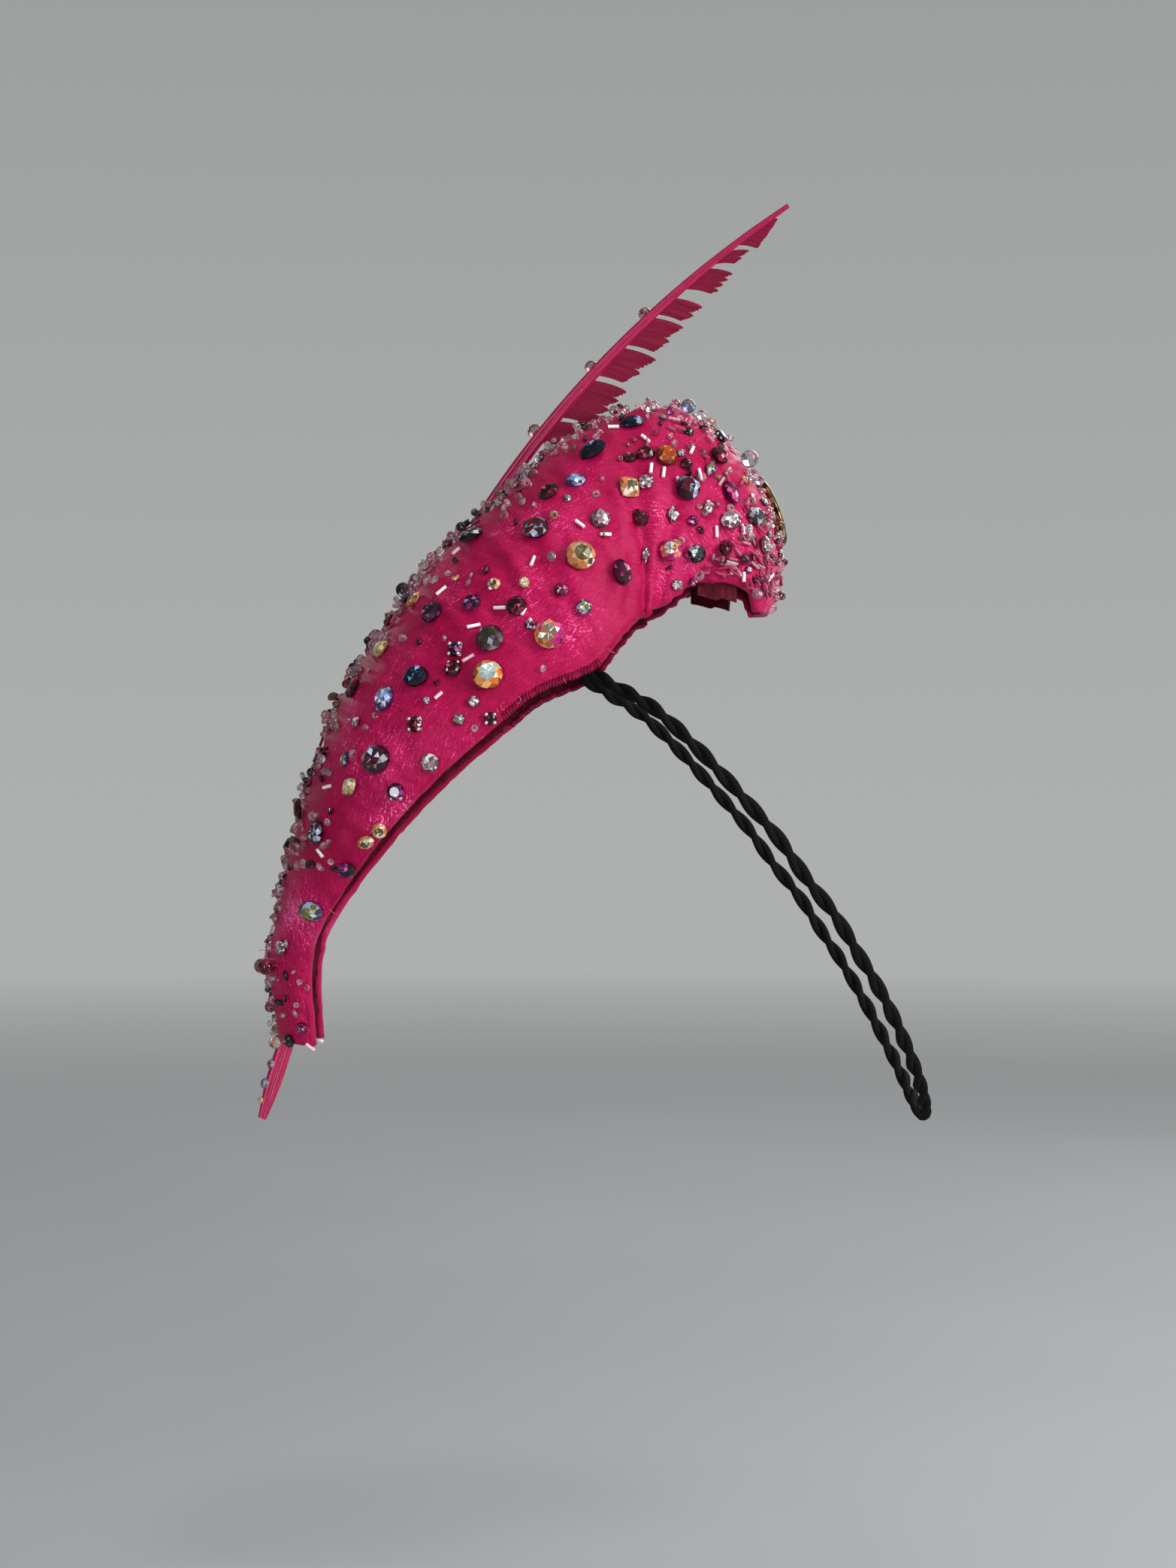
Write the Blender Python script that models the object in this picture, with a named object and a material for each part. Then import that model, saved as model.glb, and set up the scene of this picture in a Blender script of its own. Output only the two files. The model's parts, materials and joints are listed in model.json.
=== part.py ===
"""Beaded satin cap worn on the crest of the head, with one quill feather and a loop of elastic.

The face looks along -X and +Z is up, so the wearer's left side is at -Y. The origin is on the crest of the
head. Sizes are written in millimetres and become metres where a mesh is made.
"""

import math
from bisect import bisect_right
from collections import namedtuple

import bmesh
import bpy
from mathutils import Matrix, Vector
from mathutils.bvhtree import BVHTree

MM = 0.001

# Driving sizes
GAP = 0.3
WALL = 2.0
LINING_THICKNESS = 1.2
LINING_GAP = 0.6
ELASTIC_DIAMETER = 4.0
QUILL_RADIUS = 2.05
STONE_BACK_SCALE = 0.86
SEAT_TRIES = 6
VIEW_POINT = Vector((-16.9, -850.0, -53.8))

# The shell is an arch lofted from the peak on the forehead, over the crown, to the curl at the back. Each row
# gives the arch's top on the ridge, the height and place of its hem, and half its width at the hem. Fullness
# is the arch's squareness, where 2 is an ellipse.
Section = namedtuple("Section", "ridge_x ridge_z hem_x hem_z half_width fullness")
SECTIONS = [
    Section(-106.3, -127.8, -95.6, -128.8, 13.0, 2.0),
    Section(-108.6, -114.2, -96.5, -116.4, 15.0, 2.0),
    Section(-109.0, -102.9, -96.2, -104.4, 18.0, 2.0),
    Section(-106.8, -91.3, -92.7, -93.9, 23.5, 2.1),
    Section(-101.2, -67.4, -75.0, -69.2, 40.0, 2.2),
    Section(-94.8, -46.7, -60.1, -53.0, 47.0, 2.3),
    Section(-87.2, -27.0, -46.2, -40.5, 50.0, 2.3),
    Section(-74.1, -7.0, -31.8, -28.5, 49.0, 2.3),
    Section(-58.4, 13.3, -16.8, -22.1, 47.0, 2.3),
    Section(-41.9, 29.0, -11.6, -17.5, 44.0, 2.3),
    Section(-24.0, 44.9, -6.6, -11.0, 38.0, 2.2),
    Section(-2.2, 54.7, 0.2, -5.1, 31.5, 2.1),
    Section(14.2, 52.3, 6.4, -1.3, 27.5, 2.1),
    Section(26.6, 40.5, 13.5, 3.3, 25.5, 2.1),
    Section(34.9, 27.0, 20.3, 4.0, 24.5, 2.1),
    Section(38.2, 13.3, 25.9, 2.6, 22.5, 2.1),
    Section(37.5, 3.5, 29.4, 0.4, 18.0, 2.0),
    Section(35.4, -5.2, 31.2, -4.8, 12.5, 2.0),
]
ARCH_STEPS = 18
RING_SPACING = 7.0
RING_SPACING_AT_FOLDS = 4.4

# Soft valleys in the satin where the body meets the rear lobe. Each is deepest at the hem and fades before
# the ridge, and runs along one arch, at a length measured along the ridge from the peak.
Fold = namedtuple("Fold", "along spread depth")
FOLDS = [
    Fold(219.0, 5.0, 3.2),
    Fold(232.0, 4.5, 2.2),
    Fold(262.0, 6.0, 1.2),
]
FOLD_ZONE = (205.0, 272.0)

# The quill is laid along the right side of the ridge, sunk out of sight behind it, and then stands free. Its
# free part is an arc that flattens from one heading to the other, in degrees above the horizontal.
QUILL_LAID_FROM = 5.0
QUILL_LAID_TO = 152.0
QUILL_LAID_STEPS = 9
QUILL_DROP_AT_ENDS = 4.6
QUILL_DROP_DEEPEST = 9.0
QUILL_DEEPEST_AT = 100.0
SPIKE_TOP = Vector((-106.3, 11.5, -133.0))
SPIKE_END = Vector((-112.6, 10.5, -152.0))
SPIKE_TAPER = 14.0
SPIKE_END_RADIUS = 1.25
FREE_LENGTH = 144.0
FREE_STEPS = 12
FREE_HEADINGS = (59.5, 33.0)
FREE_TIP_Y = -2.0
TIP_RADIUS = 0.7
QUILL_TAPER_POWER = 1.7
QUILL_SIDES = 8
QUILL_SPACING = 6.5

# The vane is left in clumps of barbs on the rear edge of the quill. Each is placed by its distance from the
# tip, its length along the quill and its number of points, with the reach of its first and last point.
Clump = namedtuple("Clump", "from_tip span points reach last_reach")
CLUMPS = [
    Clump(6.0, 12.5, 1, 5.5, 5.5),
    Clump(21.5, 6.0, 2, 4.0, 4.8),
    Clump(29.5, 9.0, 4, 6.2, 7.8),
    Clump(42.5, 6.8, 2, 8.2, 8.2),
    Clump(51.0, 11.0, 2, 8.6, 9.3),
    Clump(63.5, 10.8, 2, 10.1, 9.2),
    Clump(76.5, 14.2, 4, 10.5, 10.1),
    Clump(92.5, 8.0, 2, 9.4, 8.4),
]
BARB_LEAN = 4.6
BARB_NOTCH = 0.45
VANE_THICKNESS = 1.0

# The elastic's route on the left side, from inside the hem down round the back of the head to the nape.
ELASTIC_LEFT = [
    Vector((-27.0, -40.9, -11.6)),
    Vector((-22.0, -41.6, -17.2)),
    Vector((-16.9, -41.2, -22.4)),
    Vector((-9.6, -48.2, -26.9)),
    Vector((0.3, -57.8, -32.9)),
    Vector((9.3, -63.0, -41.1)),
    Vector((18.0, -66.8, -50.2)),
    Vector((26.1, -69.2, -59.3)),
    Vector((34.1, -69.6, -68.7)),
    Vector((41.3, -68.4, -79.0)),
    Vector((49.2, -65.6, -89.0)),
    Vector((55.5, -61.8, -99.1)),
    Vector((61.5, -56.6, -108.6)),
    Vector((67.4, -49.2, -119.4)),
    Vector((72.6, -40.0, -130.2)),
    Vector((76.6, -28.4, -139.6)),
    Vector((79.0, -15.0, -146.6)),
    Vector((79.8, 0.0, -149.2)),
]
ELASTIC_SPACING = 8.0

# The strips below the lifted hem of the rear lobe, by length along the ridge.
LINING_FROM = 260.0
LINING_TO = 286.0
LINING_STEPS = 4
LINING_INSIDE_ANGLES = (62.0, 74.0, 86.0)
LINING_DROP = 7.2
LINING_LEAN = 0.6

# The open oval ring stands on the back of the rear lobe, just right of the ridge.
RING_ALONG = 275.5
RING_ANGLE = 13.0
RING_HALF_LENGTH = 9.4
RING_HALF_WIDTH = 6.6
RING_WIRE_RADIUS = 1.1
RING_STEPS = 24
RING_WIRE_SIDES = 8
RING_BAR_RADIUS = 0.8
RING_BAR_SIDES = 6

# Stones are laid out on the left elevation, as seen from the view point. A stone past the outline sits on
# the nearest part of the ridge. Turn is in degrees on the surface.
Stone = namedtuple("Stone", "x z width height cut turn tint")
STONES = [
    Stone(-46.0, -22.5, 8.3, 8.3, "round", 0, "aurora_amber"),
    Stone(-45.0, -12.0, 7.8, 7.8, "round", 0, "jet_green"),
    Stone(-28.0, -10.5, 8.3, 8.3, "round", 0, "aurora"),
    Stone(-19.5, 12.0, 8.3, 8.3, "round", 0, "peach"),
    Stone(-32.0, 20.0, 7.4, 7.4, "round", 0, "jet_aurora"),
    Stone(-7.5, 7.5, 6.1, 7.6, "oval", 10, "ruby_plum"),
    Stone(7.5, 13.5, 6.5, 6.5, "round", 0, "aurora"),
    Stone(14.5, 13.0, 5.2, 5.2, "round", 0, "smoke"),
    Stone(12.0, 32.0, 6.8, 7.8, "oval", 0, "jet_aurora"),
    Stone(5.5, 41.0, 6.5, 6.5, "round", 0, "amber"),
    Stone(-15.0, 42.5, 8.1, 5.7, "oval", 30, "navy"),
    Stone(-4.0, 50.5, 7.0, 4.8, "oval", 10, "navy"),
    Stone(-20.5, 34.0, 5.7, 4.4, "oval", 0, "clear_blue"),
    Stone(-5.5, 32.0, 6.1, 5.7, "cushion", 0, "peach"),
    Stone(-28.0, 30.5, 6.1, 4.8, "oval", 30, "ruby"),
    Stone(-13.5, 23.0, 5.5, 5.5, "round", 0, "clear"),
    Stone(-37.5, -2.5, 5.7, 5.7, "round", 0, "ruby"),
    Stone(-50.5, -1.5, 5.2, 5.2, "round", 0, "plum"),
    Stone(-61.5, -4.5, 7.0, 6.1, "oval", 0, "plum"),
    Stone(-50.5, 17.0, 7.4, 5.2, "oval", 40, "jet"),
    Stone(-66.5, -23.5, 7.0, 7.0, "round", 0, "navy"),
    Stone(-75.5, -29.5, 6.1, 7.4, "oval", 0, "clear_blue"),
    Stone(-76.5, -15.0, 5.2, 5.2, "cushion", 0, "foil"),
    Stone(-56.0, -20.5, 4.8, 4.8, "round", 0, "ruby"),
    Stone(-78.0, -47.0, 8.1, 8.1, "round", 0, "jet_aurora"),
    Stone(-62.5, -47.5, 5.2, 5.2, "round", 0, "clear"),
    Stone(-72.5, -56.0, 4.8, 4.8, "round", 0, "plum"),
    Stone(-84.0, -25.5, 6.5, 4.4, "cushion", 60, "ruby"),
    Stone(-99.5, -61.0, 5.2, 6.1, "oval", 0, "ruby"),
    Stone(-95.0, -68.0, 5.5, 7.0, "oval", 0, "jet_aurora"),
    Stone(-87.0, -78.5, 5.7, 4.8, "oval", 0, "plum"),
    Stone(-97.0, -90.5, 7.8, 6.1, "oval", 0, "aurora_yellow"),
    Stone(24.0, 21.5, 5.7, 5.7, "round", 0, "clear"),
    Stone(23.0, 14.5, 3.9, 5.2, "pear", 0, "ruby"),
    Stone(31.5, 23.5, 5.7, 5.7, "round", 0, "smoke"),
    Stone(24.0, 30.0, 5.2, 7.8, "pear", 0, "fuchsia"),
    Stone(21.0, 41.0, 5.2, 6.1, "oval", 0, "ruby"),
    Stone(29.5, 40.0, 5.2, 5.2, "bead", 0, "clear"),
    Stone(-108.0, -106.5, 4.8, 4.8, "bead", 0, "ruby"),
    Stone(-70.5, 2.5, 4.4, 4.4, "bead", 0, "jet"),
]
STONE_DEPTH = 0.46
GIRDLE_LOW = 0.16
GIRDLE_HIGH = 0.4
TABLE_SCALE = 0.58
STONE_SIDES = 8
CUSHION_POWER = 5
PEAR_SHOULDER = 0.1
BEAD_SIDES = 10
BEAD_ROWS = 6

TINTS = {
    "aurora_amber": (0.72, 0.38, 0.20),
    "jet_green": (0.03, 0.05, 0.05),
    "aurora": (0.55, 0.50, 0.62),
    "peach": (0.80, 0.50, 0.40),
    "jet_aurora": (0.08, 0.06, 0.12),
    "ruby_plum": (0.35, 0.03, 0.14),
    "smoke": (0.30, 0.32, 0.36),
    "amber": (0.65, 0.28, 0.08),
    "navy": (0.04, 0.05, 0.16),
    "clear_blue": (0.45, 0.52, 0.66),
    "ruby": (0.26, 0.01, 0.05),
    "clear": (0.75, 0.72, 0.74),
    "plum": (0.16, 0.02, 0.12),
    "jet": (0.02, 0.02, 0.02),
    "foil": (0.62, 0.50, 0.32),
    "aurora_yellow": (0.66, 0.60, 0.24),
    "fuchsia": (0.55, 0.05, 0.26),
}


# Ways of working that every piece shares

def cubic_through(knots, values, at):
    """Value at one place on the smooth curve through values that stand at rising knots."""
    last = len(knots) - 1
    right = min(max(bisect_right(knots, at), 1), last)
    left = right - 1
    slopes = []
    for index in (left, right):
        before = max(index - 1, 0)
        after = min(index + 1, last)
        slopes.append((values[after] - values[before]) / (knots[after] - knots[before]))
    span = knots[right] - knots[left]
    t = (at - knots[left]) / span
    from_left = (1 + 2 * t) * (1 - t) ** 2
    from_right = t * t * (3 - 2 * t)
    bend = slopes[0] * (t * (1 - t) ** 2 * span) - slopes[1] * (t * t * (1 - t) * span)
    return values[left] * from_left + values[right] * from_right + bend


def lengths_along(points):
    """Distance of each point from the first, along the chords."""
    lengths = [0.0]
    for start, end in zip(points, points[1:]):
        lengths.append(lengths[-1] + (end - start).length)
    return lengths


def smooth_route(points, spacing):
    """Evenly spaced points on the smooth curve through a few."""
    knots = lengths_along(points)
    steps = round(knots[-1] / spacing)
    return [cubic_through(knots, points, knots[-1] * step / steps) for step in range(steps + 1)]


def finish(name, colour, roughness, metallic=0.0):
    """Plain Principled material."""
    material = bpy.data.materials.new(name)
    material.use_nodes = True
    shader = material.node_tree.nodes["Principled BSDF"]
    shader.inputs["Base Color"].default_value = (*colour, 1)
    shader.inputs["Roughness"].default_value = roughness
    shader.inputs["Metallic"].default_value = metallic
    material.diffuse_color = (*colour, 1)
    return material


def add_piece(name, points, faces, material, smooth=True, closed=True):
    """Object from points in millimetres; a closed one has its faces turned outward."""
    form = bmesh.new()
    corners = [form.verts.new(Vector(point) * MM) for point in points]
    for face in faces:
        form.faces.new([corners[index] for index in face])
    if closed:
        bmesh.ops.recalc_face_normals(form, faces=form.faces)
    mesh = bpy.data.meshes.new(name)
    form.to_mesh(mesh)
    form.free()
    if smooth:
        mesh.shade_smooth()
    mesh.materials.append(material)
    piece = bpy.data.objects.new(name, mesh)
    bpy.context.scene.collection.objects.link(piece)
    return piece


def tube(centres, radii, sides, side_axis):
    """Points and faces of a round bar with closed ends."""
    points = []
    faces = []
    for index, centre in enumerate(centres):
        ahead = centres[min(index + 1, len(centres) - 1)] - centres[max(index - 1, 0)]
        across = ahead.cross(side_axis).normalized()
        upward = across.cross(ahead).normalized()
        for side in range(sides):
            turn = math.tau * side / sides
            points.append(centre + radii[index] * (math.cos(turn) * across + math.sin(turn) * upward))
    for ring in range(len(centres) - 1):
        for side in range(sides):
            following = (side + 1) % sides
            low = ring * sides
            high = low + sides
            faces.append((low + side, low + following, high + following, high + side))
    faces.append(tuple(range(sides)))
    faces.append(tuple(range(len(points) - sides, len(points))))
    return points, faces


# Shell: satin over a stiff base, one arch from the peak to the curl at the back

RIDGE_KNOTS = lengths_along([Vector((row.ridge_x, 0, row.ridge_z)) for row in SECTIONS])
RIDGE_LENGTH = RIDGE_KNOTS[-1]


def section_at(along):
    """The arch at a length along the ridge."""
    return Section(*(cubic_through(RIDGE_KNOTS, column, along) for column in zip(*SECTIONS)))


def arch_point(along, angle):
    """Point on the outer face; the angle is 0 on the ridge, -90 at the left hem and 90 at the right."""
    section = section_at(along)
    power = 2 / section.fullness
    across = math.sin(math.radians(angle))
    upward = max(math.cos(math.radians(angle)), 0.0) ** power
    foot = Vector((section.hem_x, 0, section.hem_z))
    top = Vector((section.ridge_x, 0, section.ridge_z))
    arm = (top - foot) * upward
    arm.y = section.half_width * math.copysign(abs(across) ** power, across)
    sunk = 0.0
    for fold in FOLDS:
        sunk += fold.depth * math.exp(-(((along - fold.along) / fold.spread) ** 2)) * (1 - upward ** 2)
    return foot + arm * (1 - sunk / arm.length)


def outward_at(along, angle):
    """Direction out of the shell's outer face."""
    step = 0.5
    forward = arch_point(along + step, angle) - arch_point(along - step, angle)
    sideways = arch_point(along, angle + step) - arch_point(along, angle - step)
    return forward.cross(sideways).normalized()


def ring_places():
    """Lengths along the ridge, closer together where the folds are."""
    places = [0.0]
    while places[-1] < RIDGE_LENGTH:
        at_folds = FOLD_ZONE[0] <= places[-1] < FOLD_ZONE[1]
        places.append(places[-1] + (RING_SPACING_AT_FOLDS if at_folds else RING_SPACING))
    return [place * RIDGE_LENGTH / places[-1] for place in places]


def make_shell():
    """Open shell with its wall turned inward; returns the outer face for what is seated on it."""
    places = ring_places()
    angles = [180 * step / ARCH_STEPS - 90 for step in range(ARCH_STEPS + 1)]
    points = [arch_point(place, angle) for place in places for angle in angles]
    row = len(angles)
    faces = []
    for ring in range(len(places) - 1):
        for step in range(ARCH_STEPS):
            corner = ring * row + step
            faces.append((corner, corner + row, corner + row + 1, corner + 1))
    satin = finish("pink_satin", (0.56, 0.02, 0.12), 0.38)
    shell = add_piece("cap_shell", points, faces, satin, closed=False)
    outer = BVHTree.FromPolygons(points, faces)
    wall = shell.modifiers.new("wall", "SOLIDIFY")
    wall.thickness = WALL * MM
    wall.offset = -1
    return outer


# Under strips: one on each side, sewn inside the rear hem and hanging to the head

def make_lining(name, side):
    """Thin strip that follows the inside of the wall and then drops below the hem."""
    material = finish(name + "_satin", (0.12, 0.006, 0.02), 0.5)
    rows = []
    for step in range(LINING_STEPS + 1):
        along = LINING_FROM + (LINING_TO - LINING_FROM) * step / LINING_STEPS
        inner = []
        outer = []
        for angle in LINING_INSIDE_ANGLES:
            place = arch_point(along, side * angle)
            away = outward_at(along, side * angle)
            outer.append(place - away * (WALL + LINING_GAP))
            inner.append(place - away * (WALL + LINING_GAP + LINING_THICKNESS))
        drop = Vector((0, -side * LINING_LEAN, -LINING_DROP))
        outer.append(outer[-1] + drop)
        inner.append(inner[-1] + drop)
        rows.append(outer + inner[::-1])
    points = [point for row in rows for point in row]
    width = len(rows[0])
    faces = [tuple(range(width)), tuple(range(len(points) - width, len(points)))]
    for row in range(LINING_STEPS):
        for step in range(width):
            following = (step + 1) % width
            low = row * width
            high = low + width
            faces.append((low + step, low + following, high + following, high + step))
    add_piece(name, points, faces, material, smooth=False)


# Feather: spike, stretch laid behind the ridge, free arc, and the clumps of its vane

def laid_point(along):
    """Centre of the quill where it lies on the right side of the shell."""
    share = (along - QUILL_LAID_FROM) / (QUILL_LAID_TO - QUILL_LAID_FROM)
    deepest = (QUILL_DEEPEST_AT - QUILL_LAID_FROM) / (QUILL_LAID_TO - QUILL_LAID_FROM)
    sink = math.sin(math.pi * share ** (math.log(0.5) / math.log(deepest)))
    drop = QUILL_DROP_AT_ENDS + (QUILL_DROP_DEEPEST - QUILL_DROP_AT_ENDS) * sink
    section = section_at(along)
    depth = math.hypot(section.ridge_x - section.hem_x, section.ridge_z - section.hem_z)
    upward = 1 - drop / depth
    angle = math.degrees(math.acos(upward ** (section.fullness / 2)))
    return arch_point(along, angle) + outward_at(along, angle) * (QUILL_RADIUS + GAP)


def free_points(start):
    """Centres of the free part, from where it leaves the shell to the tip."""
    points = [start.copy()]
    for step in range(FREE_STEPS):
        share = (step + 0.5) / FREE_STEPS
        heading = math.radians(FREE_HEADINGS[0] + (FREE_HEADINGS[1] - FREE_HEADINGS[0]) * share)
        stride = FREE_LENGTH / FREE_STEPS
        across = (FREE_TIP_Y - start.y) / FREE_STEPS
        points.append(points[-1] + Vector((stride * math.cos(heading), across, stride * math.sin(heading))))
    return points[1:]


def quill_route(outer):
    """Centres of the whole quill from the spike's end to the tip, clear of the satin."""
    stride = (QUILL_LAID_TO - QUILL_LAID_FROM) / QUILL_LAID_STEPS
    laid = [laid_point(QUILL_LAID_FROM + stride * step) for step in range(QUILL_LAID_STEPS + 1)]
    route = [SPIKE_END, SPIKE_TOP, *laid, *free_points(laid[-1])]
    centres = smooth_route(route, QUILL_SPACING)
    clear = QUILL_RADIUS + GAP
    for centre in centres:
        nearest, _, _, distance = outer.find_nearest(centre)
        if distance < clear and nearest.y > 1:
            centre += (centre - nearest).normalized() * (clear - distance)
    return centres


def quill_radius(from_end, length):
    """Radius at a distance from the spike's end: blunt at the spike, slender at the tip."""
    spike = min(from_end / SPIKE_TAPER, 1.0)
    low = SPIKE_END_RADIUS + (QUILL_RADIUS - SPIKE_END_RADIUS) * math.sin(spike * math.pi / 2)
    free = max(from_end - (length - FREE_LENGTH), 0.0) / FREE_LENGTH
    return low - (QUILL_RADIUS - TIP_RADIUS) * free ** QUILL_TAPER_POWER


def make_feather(outer):
    centres = quill_route(outer)
    knots = lengths_along(centres)
    length = knots[-1]
    radii = [quill_radius(knot, length) for knot in knots]
    material = finish("quill_pink", (0.42, 0.01, 0.08), 0.35)
    points, faces = tube(centres, radii, QUILL_SIDES, Vector((0, 1, 0)))
    feather = add_piece("feather", points, faces, material)

    def edge_point(from_tip, reach):
        """Point in the vane's plane, at a distance from the tip and a reach from the quill."""
        at = length - from_tip
        ahead = cubic_through(knots, centres, at + 1) - cubic_through(knots, centres, at - 1)
        rearward = Vector((ahead.z, 0, -ahead.x)).normalized()
        return cubic_through(knots, centres, at) + rearward * reach

    points = []
    faces = []
    for clump in CLUMPS:
        outline = [edge_point(clump.from_tip, 0.0)]
        for tip in range(clump.points):
            share = (tip + 0.55) / clump.points
            reach = clump.reach + (clump.last_reach - clump.reach) * share
            root = clump.from_tip + clump.span * share
            outline.append(edge_point(root - BARB_LEAN, reach))
            if tip < clump.points - 1:
                notch = clump.from_tip + clump.span * (tip + 1) / clump.points
                outline.append(edge_point(notch - BARB_LEAN * BARB_NOTCH, reach * BARB_NOTCH))
        outline.append(edge_point(clump.from_tip + clump.span, 0.0))
        first = len(points)
        count = len(outline)
        half = Vector((0, VANE_THICKNESS / 2, 0))
        points += [point - half for point in outline] + [point + half for point in outline]
        faces.append(tuple(range(first, first + count)))
        faces.append(tuple(range(first + count, first + 2 * count)))
        for step in range(count):
            following = (step + 1) % count
            faces.append((first + step, first + following, first + count + following, first + count + step))
    vane = add_piece("vane_clumps", points, faces, material, smooth=False)
    vane.hide_render = True
    vane.display_type = "WIRE"
    join = feather.modifiers.new("vane", "BOOLEAN")
    join.operation = "UNION"
    join.object = vane


def seat_lift(outer, points, away, radius=0.0):
    """How far balls at the points have to move out for the nearest of them to clear the satin by the gap."""
    lift = 0.0
    for _ in range(SEAT_TRIES):
        heights = []
        for point in points:
            place = point + away * lift
            nearest, normal, _, distance = outer.find_nearest(place)
            heights.append(math.copysign(distance, (place - nearest).dot(normal)))
        lift += radius + GAP - min(heights)
    return lift


# Gold ring: an open oval with one bar across, flat on the back of the rear lobe

def make_ring(outer):
    place = arch_point(RING_ALONG, RING_ANGLE)
    away = outward_at(RING_ALONG, RING_ANGLE)
    lengthwise = arch_point(RING_ALONG + 1, RING_ANGLE) - arch_point(RING_ALONG - 1, RING_ANGLE)
    lengthwise.normalize()
    across = away.cross(lengthwise).normalized()
    centres = []
    for step in range(RING_STEPS):
        turn = math.tau * step / RING_STEPS
        centres.append(
            place
            + lengthwise * (RING_HALF_LENGTH * math.cos(turn))
            + across * (RING_HALF_WIDTH * math.sin(turn))
        )
    bar_points = [place + across * (RING_HALF_WIDTH * share) for share in (-0.5, 0.0, 0.5)]
    lift = seat_lift(outer, centres + bar_points, away, RING_WIRE_RADIUS)
    centres = [centre + away * lift for centre in centres]
    points = []
    faces = []
    for step, centre in enumerate(centres):
        turn = math.tau * step / RING_STEPS
        out = (lengthwise * (RING_HALF_WIDTH * math.cos(turn)) + across * (RING_HALF_LENGTH * math.sin(turn)))
        out.normalize()
        for side in range(RING_WIRE_SIDES):
            around = math.tau * side / RING_WIRE_SIDES
            points.append(centre + RING_WIRE_RADIUS * (math.cos(around) * out + math.sin(around) * away))
    for step in range(RING_STEPS):
        following = (step + 1) % RING_STEPS
        for side in range(RING_WIRE_SIDES):
            beside = (side + 1) % RING_WIRE_SIDES
            faces.append((
                step * RING_WIRE_SIDES + side,
                step * RING_WIRE_SIDES + beside,
                following * RING_WIRE_SIDES + beside,
                following * RING_WIRE_SIDES + side,
            ))
    gold = finish("antique_gold", (0.60, 0.42, 0.16), 0.32, 1.0)
    ring = add_piece("gold_ring", points, faces, gold)
    middle = place + away * lift
    bar_points, bar_faces = tube(
        [middle - across * RING_HALF_WIDTH, middle + across * RING_HALF_WIDTH],
        [RING_BAR_RADIUS] * 2,
        RING_BAR_SIDES,
        lengthwise,
    )
    bar = add_piece("ring_bar", bar_points, bar_faces, gold)
    bar.hide_render = True
    bar.display_type = "WIRE"
    join = ring.modifiers.new("bar", "BOOLEAN")
    join.operation = "UNION"
    join.object = bar


# Elastic: a whole loop, the left half mirrored to the right

def make_elastic():
    right = [Vector((point.x, -point.y, point.z)) for point in ELASTIC_LEFT[-2::-1]]
    route = smooth_route(ELASTIC_LEFT + right, ELASTIC_SPACING)
    curve = bpy.data.curves.new("elastic", "CURVE")
    curve.dimensions = "3D"
    curve.bevel_depth = ELASTIC_DIAMETER / 2 * MM
    curve.bevel_resolution = 2
    curve.use_fill_caps = True
    spline = curve.splines.new("POLY")
    spline.points.add(len(route) - 1)
    for point, place in zip(spline.points, route):
        point.co = (*(place * MM), 1)
    curve.materials.append(finish("black_elastic", (0.01, 0.01, 0.01), 0.6))
    elastic = bpy.data.objects.new("elastic", curve)
    bpy.context.scene.collection.objects.link(elastic)


# Stones: faceted, flat-backed, each seated on the satin with its own tint

def outline_radius(cut, turn):
    """Radius of a stone's outline at an angle, for a half width and half height of 1."""
    if cut == "cushion":
        total = abs(math.cos(turn)) ** CUSHION_POWER + abs(math.sin(turn)) ** CUSHION_POWER
        return total ** (-1 / CUSHION_POWER)
    if cut == "pear" and math.sin(turn) > 0:
        return 1 - PEAR_SHOULDER * math.sin(2 * turn) ** 2
    return 1.0


def seat_frame(outer, stone):
    """Point on the satin and the direction away from it, on the sight line through the stone's place."""
    target = Vector((stone.x, 0, stone.z))
    sight = (target - VIEW_POINT).normalized()
    hit, away, _, _ = outer.ray_cast(VIEW_POINT, sight)
    if hit is None:
        passes = [target + sight * step for step in range(-60, 20)]
        hit, away, _, _ = min((outer.find_nearest(point) for point in passes), key=lambda found: found[3])
    if away.dot(VIEW_POINT - hit) < 0 and away.y > 0.2:
        away = -away
    return hit, away


def stone_points(stone):
    """Rings of a cut stone from its flat back to its table, with the stone's foot on z = 0."""
    depth = STONE_DEPTH * min(stone.width, stone.height)
    rings = []
    for scale, level, count in (
        (STONE_BACK_SCALE, 0.0, 2 * STONE_SIDES),
        (1.0, GIRDLE_LOW, 2 * STONE_SIDES),
        (1.0, GIRDLE_HIGH, 2 * STONE_SIDES),
        (TABLE_SCALE, 1.0, STONE_SIDES),
    ):
        ring = []
        for corner in range(count):
            turn = math.tau * corner / count
            reach = scale * outline_radius(stone.cut, turn)
            ring.append(Vector((
                reach * math.cos(turn) * stone.width / 2,
                reach * math.sin(turn) * stone.height / 2,
                level * depth,
            )))
        rings.append(ring)
    return rings


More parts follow.
